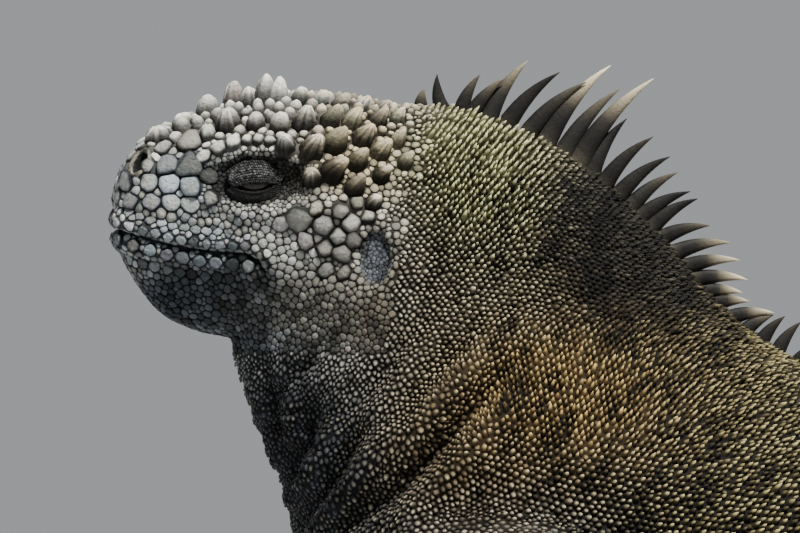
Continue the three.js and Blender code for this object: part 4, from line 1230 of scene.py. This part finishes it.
def scaleTone(scales, chosen, built, paleTipAndHighlightColour):
    roots, normals, per, level = scales.root[chosen], scales.normal[chosen], built["per"], built["level"]
    base = markingsAndPaintedShade(roots, normals, limbShare(roots), tailShare(roots))
    vary = np.exp(dice.normal(scale=0.34, size=(len(roots), 1)))
    vary = vary * (1 + dice.normal(scale=0.03, size=(len(roots), 3)))
    base = np.repeat(base * vary, per, 0)
    gain = np.repeat(scales.gain[chosen] * (0.2 + 1.6 * dice.random(len(roots)) ** 1.3), per)
    # Pale tips: partly the scales' own pale tips, partly painted highlight on their tops.
    paleTipAndHighlight = np.clip(ease(0.4, 1, level) ** 1.4 * gain, 0, 0.95)[:, None]
    # Painted shade: each scale darkens towards its sunk foot, into the groove between scales.
    tone = base * (0.12 + 0.95 * ease(0.08, 0.7, level))[:, None]
    tone = tone * (1 - paleTipAndHighlight) + np.repeat(paleTipAndHighlightColour, per, 0) * paleTipAndHighlight
    # Painted highlight and shade: lighter on the flutes' ridges, darker in their grooves.
    return np.clip(tone * (1 + 0.3 * built["fluteShading"])[:, None], 0.003, 0.85)


# Tip colours: partly the scales' own pale tips, partly painted highlight; the head's near-white is painted
# highlight on the crown.
paleTipAndHighlightColours = {
    "head": (0.7, 0.68, 0.6),
    "occiput": (0.56, 0.48, 0.32),
    "nape": (0.64, 0.64, 0.36),
    "ochre": (0.58, 0.42, 0.17),
    "neck": (0.52, 0.48, 0.36),
    "flank": (0.5, 0.44, 0.21),
}


def paleTipAndHighlightOf(points):
    nape, ochre, _, flank = (zone[:, None] for zone in bodyZones(points))
    behind, height, _ = sideView(points)
    onHead = ((1 - ease(62, 80, behind)) * ease(120, 150, height))[:, None]
    occiput = (ease(42, 56, behind) * ease(176, 186, height))[:, None] * onHead
    rest = np.clip(1 - nape - ochre, 0, 1)
    body = nape * paleTipAndHighlightColours["nape"] + ochre * paleTipAndHighlightColours["ochre"]
    body = body + rest * (1 - flank) * paleTipAndHighlightColours["neck"] + rest * flank * paleTipAndHighlightColours["flank"]
    crown = occiput * paleTipAndHighlightColours["occiput"] + (1 - occiput) * paleTipAndHighlightColours["head"]
    return body * (1 - onHead) + crown * onHead


foldFill = {
    "behind": 190,
    "above": 60,
    "tries": 90000,
    "pitch": [[60, 125, 190], [1.42, 1.5, 2.0]],
    "open": 0.86,
}


def fillFolds(body, mesh):
    # scales on the floors of the folds, where the rows leave the skin bare
    tris, points, normals = triangles(mesh), readPoints(mesh), readNormals(mesh)
    middle = points[tris].mean(1)
    wanted = (middle[:, 0] < snoutX + foldFill["behind"]) & (middle[:, 2] > foldFill["above"])
    chosen = tris[wanted & ~headArea(middle) & ~bare(middle)]
    spots, faces = scatter(chosen, points, normals, foldFill["tries"])
    tree = treeOf(body.root)
    away = np.array([tree.find(spot)[2] for spot in spots])
    pitch = np.interp(spots[:, 0] - snoutX, *foldFill["pitch"])
    empty = away > foldFill["open"] * pitch
    roots = LaidRoots(None)
    for spot, facing, size in zip(spots[empty], faces[empty], pitch[empty] * 0.5):
        if roots.clear(spot, size, 0.9):
            roots.lay(spot, facing, size, 0, 0, "body")
    laid = np.array(roots.laid)
    stage(f"{len(laid)} scales added in folds")
    extra = Scales()
    extra.add(root=laid[:, :3], normal=laid[:, 3:6], way=unit(np.array([0.5, 0, -0.5])), size=laid[:, 6],
              stretch=1.05, high=laid[:, 6] * 0.8, hook=0.5, domed=0.5, gain=0.25, kind=kinds["body"])
    extra.join()
    for name in Scales.names:
        setattr(body, name, np.concatenate([getattr(body, name), getattr(extra, name)]))


coatPieces = {
    # slot, finish, sides and levels of a scale, depth of its flutes, roughness, kinds
    "crownTubercles": ["head_skin", plateFinish, 36, 11, 0.1, 0.13, ["tubercle"]],
    "facePlates": ["head_skin", plateFinish, 24, 7, 0.02, 0.1, ["plate", "lip"]],
    "headBeads": ["head_skin", plateFinish, 11, 3, 0.0, 0.04, ["bead"]],
    "bodyScales": ["body_skin", scaleFinish, 7, 2, 0.0, 0.0, ["body"]],
}


def dressScales(mesh, tree):
    laid = headRoots(tree, mesh)
    stage(f"head scales {len(laid)}")
    scales = Scales()
    behind, height, kind = laid[:, 0] - snoutX, laid[:, 2], laid[:, 9]
    occiput = ease(42, 56, behind) * ease(176, 186, height)
    high = ease(192, 200, height)
    tall = kind == kinds["tubercle"]
    rising = np.outer(np.where(tall, 0.4 + 0.35 * occiput, 0.25 * high), [0.3, 0, 1])
    # Pale tips on the head: partly their own colour, partly painted highlight, lighter higher up and gone low
    # on the head. They are taken out as painted shade in the hollow round the eye and under the chin; on the
    # eardrum the scales are plain.
    gain = (0.5 + 0.4 * high + 0.2 * occiput) * ease(146, 176, height)
    gain = np.where(kind == kinds["lip"], 0.12, np.where(kind == kinds["plate"], gain * 0.8, gain))
    gain = gain * (1 - 0.96 * orbitShadeShare(laid[:, :3]) * ~tall) * (1 - 0.9 * drumShare(laid[:, :3]))
    gain = gain * (1 - np.clip(1.6 * mound(behind, height, (24, 154), (24, 13)), 0, 0.9))
    hook = np.where(tall, 0.15 + 0.5 * occiput, 0.12)
    scales.add(root=laid[:, :3], normal=unit(laid[:, 3:6] + rising), way=unit(np.array([1.0, 0, 0.3])),
               size=laid[:, 6], stretch=1.0, high=laid[:, 7], hook=hook, domed=laid[:, 8], gain=gain, kind=kind)
    body = Scales()
    bodyRows(body)
    limbRows(body)
    body.join()
    stage(f"rows laid, {len(body.root)} scales")
    spots, normals, near = onSkin(tree, body.root, 4.5)
    body.root, body.normal = spots, normals
    body.keep(near & ~bare(spots) & (spots[:, 2] > 0.9) & ~headArea(spots))
    body.keep(thin(body.root, body.size))
    fillFolds(body, mesh)
    limb = limbShare(body.root)
    body.gain = body.gain * (1 - limb) + 0.22 * limb
    # Painted shade: pale tips are faded on the floors of the folds. The black blots are the animal's own.
    body.gain = body.gain * (1 - 0.75 * foldShadeShare(body.root)) * (1 - 0.7 * inkShare(body.root))
    scales.add(**{name: getattr(body, name) for name in Scales.names})
    scales.join()
    stage(f"{len(scales.root)} scales kept")

    for name, (slot, finish, sides, levels, flutes, rough, wanted) in coatPieces.items():
        chosen = np.flatnonzero(np.isin(scales.kind, [kinds[w] for w in wanted]))
        built = buildScales(scales, chosen, sides, levels, flutes, rough)
        tone = scaleTone(scales, chosen, built, paleTipAndHighlightOf(scales.root[chosen]))
        scalePieces(name, slot, finish, scales.root[chosen], built, tone)
        stage(f"{name}: {len(chosen)} scales, {len(built['faces'])} faces")


# Spines, claws and eyes
napeSpines = [
    # behind, length, rise in degrees, how pale the tip is
    [76.6, 5, 82, 0.4], [81.9, 9, 99, 0.1], [86.4, 11.1, 64, 0.3], [89, 12.9, 50, 0.4],
    [93.1, 18.8, 57, 0.6], [97.4, 19.9, 46, 0.1], [102.6, 20.7, 43, 0.3], [107.3, 26.4, 51, 1],
    [111.9, 22.3, 50, 0.4], [115.6, 29, 49, 0.9], [119, 17, 58, 0], [122.2, 17.5, 45, 0.2],
    [125.6, 16.6, 38, 0.1], [128.9, 14.8, 37, 0.3], [131.6, 13.8, 28, 0], [134.2, 13.5, 32, 0],
    [136.8, 12.3, 15, 0.3], [139.8, 14.5, 11, 0.6], [142.5, 13.8, 8, 0.9], [145, 13.1, 0, 1],
    [147.6, 9.2, -1, 0.9], [150.2, 8.5, 4, 0.8], [153.6, 11.3, 7, 0.9], [157.4, 8.5, 30, 0.4],
    [161.5, 9.2, 49, 0.2], [165.4, 10.2, 53, 0.2],
]
crest = {
    "backLength": 8.5,
    "backSpacing": 5.2,
    "backRise": 42,
    "backWidth": 3.6,
    "tailRoot": 8.5,
    "tailTip": 1.8,
    "tailSpacing": 6.4,
    "tailCloser": 3,
    "tailWidth": [4.6, 2.6],
    "bareTip": 8,
    "napeWidth": [3.3, 0.085],
    "flat": 0.5,
    "bow": -0.07,
    "sunk": 2.6,
    "dark": [0.006, 0.0058, 0.006],
    "middle": [0.013, 0.0125, 0.012],
    "foot": [0.14, 0.13, 0.09],
    "pale": [0.62, 0.54, 0.38],
}


hornSides = 10


def hornAt(root, direction, side, length, width, thick, bow, sunk, levels):
    # a curved cone, sunk into the skin, and how far along it each point lies
    along = unit(np.cross(side, direction))
    turn = np.linspace(0, 2 * math.pi, hornSides, endpoint=False)
    rings = []
    for share in np.linspace(-sunk / length, 1, levels):
        size = max(0.035, (1 - max(share, 0) ** 1.35) ** 0.85)
        if share < 0.12:
            size = 1.0 + 0.12 * (0.12 - share)
        sway = bow * 4 * max(share, 0) * (1 - max(share, 0))
        centre = root + direction * share * length + along * sway
        across = np.outer(np.cos(turn) * width / 2 * size, along)
        rings.append(centre + across + np.outer(np.sin(turn) * thick / 2 * size, side))
    points, faces, caps = lofted(rings)
    tris = np.concatenate([faces[:, [0, 1, 2]], faces[:, [0, 2, 3]]])
    ends = [[cap[0], cap[n], cap[n + 1]] for cap in caps for n in range(1, len(cap) - 1)]
    share = np.repeat(np.linspace(0, 1, levels), hornSides)
    return points, np.concatenate([tris, np.array(ends)]), share


def gather(parts):
    points, faces, shift = [], [], 0
    for some, tris, *_ in parts:
        points.append(some)
        faces.append(tris + shift)
        shift += len(some)
    return np.concatenate(points), np.concatenate(faces)


def makeCrest():
    stops = []
    for t in np.arange(1, len(bodyForm) - 1.2, 0.01):
        stops.append((formRing(bodyForm, t, np.zeros(1))[0], np.array([1.0, 0, 0]), np.array([0, 1.0, 0])))
    stops = [s for s in stops if s[0][0] < tail["root"] + snoutX]
    tailFrom = len(stops)
    for s in np.arange(1, tail["length"] - crest["bareTip"], 0.5):
        point, forward, side, _, height = tailAt(s)
        stops.append((np.array([point[0], point[1], height]), forward, side))
    spots = np.array([s[0] for s in stops])
    parts, tones = [], []

    def add(n, rise, length, width, pale, levels=11):
        root, back, side = stops[n]
        angle = math.radians(rise)
        direction = back * math.cos(angle) + np.array([0, 0, math.sin(angle)])
        direction = unit(direction + side * dice.normal(scale=0.05))
        horn = hornAt(root, direction, side, length, width, width * crest["flat"], crest["bow"] * length,
                      crest["sunk"], levels)
        share = horn[2]
        dark, middle = np.array(crest["dark"]), np.array(crest["middle"])
        tone = dark + np.outer(ease(0.1, 0.45, share) * (1 - ease(0.5, 0.8, share)), middle - dark)
        tone = tone + np.outer(0.3 * (1 - ease(0.1, 0.25, share)), crest["foot"])
        tip = pale**2 * ease(0.45, 1, share)
        parts.append(horn)
        tones.append(tone * (1 - tip[:, None]) + np.outer(tip, crest["pale"]))

    least, forLength = crest["napeWidth"]
    for behind, length, rise, pale in napeSpines:
        n = int(np.argmin(np.abs(spots[:tailFrom, 0] - (behind + snoutX))))
        add(n, rise, length, least + forLength * length, pale)
    before = int(np.argmin(np.abs(spots[:tailFrom, 0] - (napeSpines[-1][0] + snoutX))))
    nape = len(parts)
    wait = crest["backSpacing"]
    for n in range(before, len(stops)):
        if np.linalg.norm(spots[n] - spots[before]) < wait:
            continue
        before = n
        length, wait, width = crest["backLength"], crest["backSpacing"], crest["backWidth"]
        if n > tailFrom:
            share = (n - tailFrom) / (len(stops) - tailFrom)
            length = crest["tailRoot"] + (crest["tailTip"] - crest["tailRoot"]) * share
            wait = crest["tailSpacing"] - crest["tailCloser"] * share
            width = crest["tailWidth"][0] - crest["tailWidth"][1] * share
        rise = crest["backRise"] + dice.normal(scale=4)
        add(n, rise, length * dice.uniform(0.85, 1.12), width, 0.35 * dice.random(), 7)
    for name, some in (("napeSpines", slice(nape)), ("backSpines", slice(nape, None))):
        points, faces = gather(parts[some])
        piece(name, meshOf(name, points, faces), hornFinish, "tail_skin", np.concatenate(tones[some]))


claw = {
    "from": 0.94,
    "height": 4.3,
    "down": 0.2,
    "width": 4.6,
    "thick": 2.9,
    "bow": 1.7,
    "sunk": 3,
    "levels": 10,
}
clawTones = {"root": 0.03, "tip": [0.05, 0.042, 0.03]}


def makeClaws():
    parts, tones = [], []
    up = np.array([0, 0, 1.0])
    for leg in legs:
        for start, way, reach in leg.toes():
            root = np.array([*(start + way * reach * claw["from"])[:2], claw["height"]])
            length = leg.plan["claw"] * (0.85 + reach / 200)
            horn = hornAt(root, unit(way - claw["down"] * up), unit(np.cross(way, up)), length, claw["width"],
                          claw["thick"], claw["bow"], claw["sunk"], claw["levels"])
            parts.append(horn)
            tones.append(clawTones["root"] + np.outer(ease(0.2, 1, horn[2]), clawTones["tip"]))
    points, faces = gather(parts)
    points[:, 2] = np.maximum(points[:, 2], 0.05)
    piece("claws", meshOf("claws", points, faces), clawFinish, "foot_skin", np.concatenate(tones))


rimPlan = {"round": 30, "section": 10, "wider": 1.3, "longer": 1.2, "thick": 0.62, "tone": [0.2, 0.19, 0.16]}


def makeNostrils(tree):
    # a pale rim of small knobs round each nostril
    (b, z), (wide, long), tilt = (face["nostril"][key] for key in ("at", "half", "tilt"))
    parts = []
    turn = np.linspace(0, 2 * math.pi, rimPlan["round"], endpoint=False)
    section = np.linspace(0, 2 * math.pi, rimPlan["section"], endpoint=False)
    u, v = rimPlan["wider"] * wide * np.cos(turn), rimPlan["longer"] * long * np.sin(turn)
    for side in (-1, 1):
        path, ways = [], []
        for du, dv in zip(u * math.cos(tilt) + v * math.sin(tilt), -u * math.sin(tilt) + v * math.cos(tilt)):
            start = place(b + du, side * 60, z + dv)
            spot, normal, _, _ = tree.ray_cast(Vector(start * mm), Vector((0, -side, 0)))
            if spot is None:
                spot, normal, _, _ = tree.find_nearest(Vector(place(b + du, side * 6, z + dv) * mm))
            path.append(np.array(spot) / mm)
            ways.append(np.array(normal))
        path, ways = np.array(path), unit(np.array(ways))
        for _ in range(3):
            path = 0.5 * path + 0.25 * (np.roll(path, 1, 0) + np.roll(path, -1, 0))
        middle = path.mean(0)
        rings = []
        for n, (spot, normal) in enumerate(zip(path, ways)):
            out = unit(spot - middle - normal * ((spot - middle) @ normal))
            thick = rimPlan["thick"] + 0.12 * math.sin(5 * turn[n]) + 0.08 * math.sin(11 * turn[n])
            ring = np.outer(np.cos(section), out) + 0.9 * np.outer(np.sin(section), normal)
            rings.append(spot + thick * ring)
        rings = np.array(rings)
        count, sides = rings.shape[:2]
        r, s = np.meshgrid(np.arange(count), np.arange(sides), indexing="ij")
        at = lambda i, j: (i % count) * sides + j % sides
        quads = np.stack([at(r, s), at(r + 1, s), at(r + 1, s + 1), at(r, s + 1)], -1).reshape(-1, 4)
        if side > 0:
            quads = quads[:, ::-1]
        parts.append((rings.reshape(-1, 3), quads))
    points, faces = gather(parts)
    tone = np.tile(rimPlan["tone"], (len(points), 1)) * (0.7 + 0.5 * wobble(points, 1.6, 51))[:, None]
    mesh = meshOf("nostrilRims", points, faces)
    piece("nostrilRims", mesh, plateFinish, "head_skin", np.clip(tone, 0.03, 0.6))


# The ball and iris are painted near-black: partly the dark eye itself, partly painted shade of the deep orbit.
eyeball = {
    "rings": 40,
    "sides": 48,
    "pupil": [0.2, 0.26],
    "iris": [0.52, 0.58],
    "irisTone": [0.026, 0.016, 0.009],
    "ballTone": [0.012, 0.01, 0.009],
    "pupilTone": [0.002, 0.002, 0.002],
}


def makeEyes():
    # the rings of each ball run round the axis that points out of the head
    angles = np.linspace(0.02, math.pi - 0.02, eyeball["rings"])
    turn = np.linspace(0, 2 * math.pi, eyeball["sides"], endpoint=False)
    radius = face["eyeRadius"]
    for side, label in ((-1, "Left"), (1, "Right")):
        b, z = face["eye"]
        centre = place(b, side * face["eyeOut"], z)
        rings = []
        for angle in angles:
            r, out = radius * math.sin(angle), radius * math.cos(angle)
            ring = [r * np.cos(turn), np.full(len(turn), side * out), r * np.sin(turn)]
            rings.append(centre + np.stack(ring, 1))
        points, faces, caps = lofted(rings)
        if side > 0:
            faces, caps = faces[:, ::-1], [c[::-1] for c in caps]
        angle = np.repeat(angles, len(turn))
        around = np.tile(turn, len(angles))
        pupil = 1 - ease(*eyeball["pupil"], angle)
        iris = (1 - ease(*eyeball["iris"], angle)) * (1 - pupil)
        streak = 0.75 + 0.25 * np.sin(around * 11 + 3 * np.sin(around * 5))
        tone = np.tile(eyeball["ballTone"], (len(angle), 1))
        tone = tone * (1 - iris[:, None]) + np.outer(iris * streak, eyeball["irisTone"])
        tone = tone * (1 - pupil[:, None]) + np.outer(pupil, eyeball["pupilTone"])
        mesh = meshOf(f"eye{label}", points, faces, caps)
        mesh.shade_smooth()
        piece(f"eye{label}", mesh, eyeFinish, "eye", tone, [f"eye_{label.lower()}"])
        makeLids(side, label, centre)


lids = {
    "radius": 7.4,
    "thick": 1.0,
    "half": 4.6,
    "count": 41,
    "rows": 13,
    # the edge at the slit, the far edge, how much it swells, its tone and the tone of its grains
    "upper": [0.7, 5.6, 1, 0.03, 0.075],
    # The lower lid and its grains are painted near-black as painted shade in the hollow below the eye.
    "lower": [-1.9, -5.0, 0.7, 0.012, 0.012],
    "grainRows": 9,
    "grainsInRow": 24,
    "grainSize": 0.4,
}


def lidShell(side, centre, upper):
    # one lid as a thick shell over the ball, and its own outer points
    gap, far, puff, _, _ = lids["upper" if upper else "lower"]
    count, rows, thick = lids["count"], lids["rows"], lids["thick"]
    outer, inner = [], []
    for v in np.linspace(0, 1, rows):
        for u in np.linspace(-1, 1, count):
            x = u * lids["half"] * (1.25 + 0.3 * v)
            edge = gap * (1 - u * u) ** 0.8 - 0.5 + 0.4 * u
            h = edge + (far * math.sqrt(max(1 - (u * 0.9) ** 2, 0)) - edge) * v
            crease = abs(math.sin(v * 7 + 1.2 * math.sin(3 * u) + 0.5 * u))
            swell = 0.6 * math.sin(v * math.pi) + 0.35 * (v < 0.12) - 0.12 * crease
            r = lids["radius"] + thick * 0.6 + swell * puff
            out = math.sqrt(max(r * r - x * x * 0.8 - h * h * 0.85, 0.6))
            outer.append([centre[0] + x, centre[1] + side * out, centre[2] + h])
            inner.append([centre[0] + x, centre[1] + side * (out - thick), centre[2] + h])
    size = rows * count
    faces = []
    for r in range(rows - 1):
        for c in range(count - 1):
            a = r * count + c
            quad = [a, a + 1, a + count + 1, a + count]
            faces += [quad, [q + size for q in quad[::-1]]]
    rim = [*range(count), *(r * count + count - 1 for r in range(1, rows))]
    rim += [(rows - 1) * count + c for c in range(count - 2, -1, -1)]
    rim += [r * count for r in range(rows - 2, 0, -1)]
    faces += [[b, a, a + size, b + size] for a, b in zip(rim, rim[1:] + rim[:1])]
    faces = np.array(faces)
    if (side < 0) != upper:
        faces = faces[:, ::-1]
    return np.array(outer + inner), np.concatenate([faces[:, [0, 1, 2]], faces[:, [0, 2, 3]]])


def makeLids(side, label, centre):
    # upper and lower lid, with rows of fine grains
    parts, tones, grains, grainTones = [], [], [], []
    count, rows = lids["count"], lids["rows"]
    for upper in (True, False):
        points, tris = lidShell(side, centre, upper)
        _, _, _, lidTone, grainTone = lids["upper" if upper else "lower"]
        parts.append((points, tris))
        row = np.tile(np.repeat(np.linspace(0, 1, rows), count), 2)
        tones.append(np.outer(0.008 + lidTone * np.sin(row * math.pi), [1, 1.02, 1.04]))
        for n, v in enumerate(np.linspace(0.04, 0.95, lids["grainRows"])):
            for u in np.linspace(-0.96, 0.96, lids["grainsInRow"]) + 0.04 * (n % 2):
                r = (v + dice.normal(scale=0.012)) * (rows - 1)
                c = (u + 1) / 2 * (count - 1) + dice.normal(scale=0.2)
                r, c = np.clip(r, 0, rows - 1.01), np.clip(c, 0, count - 1.01)
                i, j = int(r), int(c)
                f, g = r - i, c - j
                low = points[i * count + j] * (1 - g) + points[i * count + j + 1] * g
                high = points[(i + 1) * count + j] * (1 - g) + points[(i + 1) * count + j + 1] * g
                grains.append(low * (1 - f) + high * f)
                grainTones.append(0.012 + grainTone * math.sin(v * math.pi) * dice.uniform(0.2, 1.3) ** 2)
    points, tris = gather(parts)
    mesh = meshOf(f"lids{label}", points, tris)
    piece(f"lids{label}", mesh, skinFinish, "head_skin", np.concatenate(tones))
    fine, grains = Scales(), np.array(grains)
    fine.add(root=grains, normal=unit(grains - centre), way=np.array([1.0, 0, 0]), size=lids["grainSize"],
             stretch=1.0, high=0.9 * lids["grainSize"], hook=0.0, domed=0.8, gain=0.0, kind=kinds["bead"])
    fine.join()
    built = buildScales(fine, np.arange(len(grains)), 7, 3)
    tone = np.repeat(np.outer(grainTones, [1, 1.02, 1.05]), built["per"], 0)
    scalePieces(f"lidGrains{label}", "head_skin", plateFinish, grains, built, tone)


def main():
    makeCamera()
    makeStudio()
    mesh = makeSkin()
    points, normals = readPoints(mesh), readNormals(mesh)
    stage(f"skin sculpted, {len(points)} points")
    # Painted shade: the bare skin between the scales is painted at 0.22 of the markings.
    tone = markingsAndPaintedShade(points, normals, limbShare(points), tailShare(points)) * 0.22
    behind, height, out = sideView(points)
    # Painted shade: the bare skin is darkened in the hollow round the eye.
    dark = 1 - ease(0.6, 1.15, oval(behind, height, face["orbit"]))
    tone = tone * (1 - 0.8 * (dark * ease(8, 12, out))[:, None])
    # Painted shade: the nostril pit is painted nearly black.
    nose = (1 - ease(0.85, 1.2, oval(behind, height, face["nostril"]))) * (behind < face["nostril"]["end"])
    tone = tone * (1 - 0.97 * nose[:, None])
    flesh = [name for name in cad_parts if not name.startswith("eye_")]
    piece("skin", mesh, skinFinish, "body_skin", np.clip(tone, 0.003, 0.8), flesh)
    tree = BVHTree.FromPolygons([v.co for v in mesh.vertices], [p.vertices for p in mesh.polygons])
    dressScales(mesh, tree)
    makeNostrils(tree)
    makeCrest()
    makeClaws()
    makeEyes()
    stage("dressed")


main()
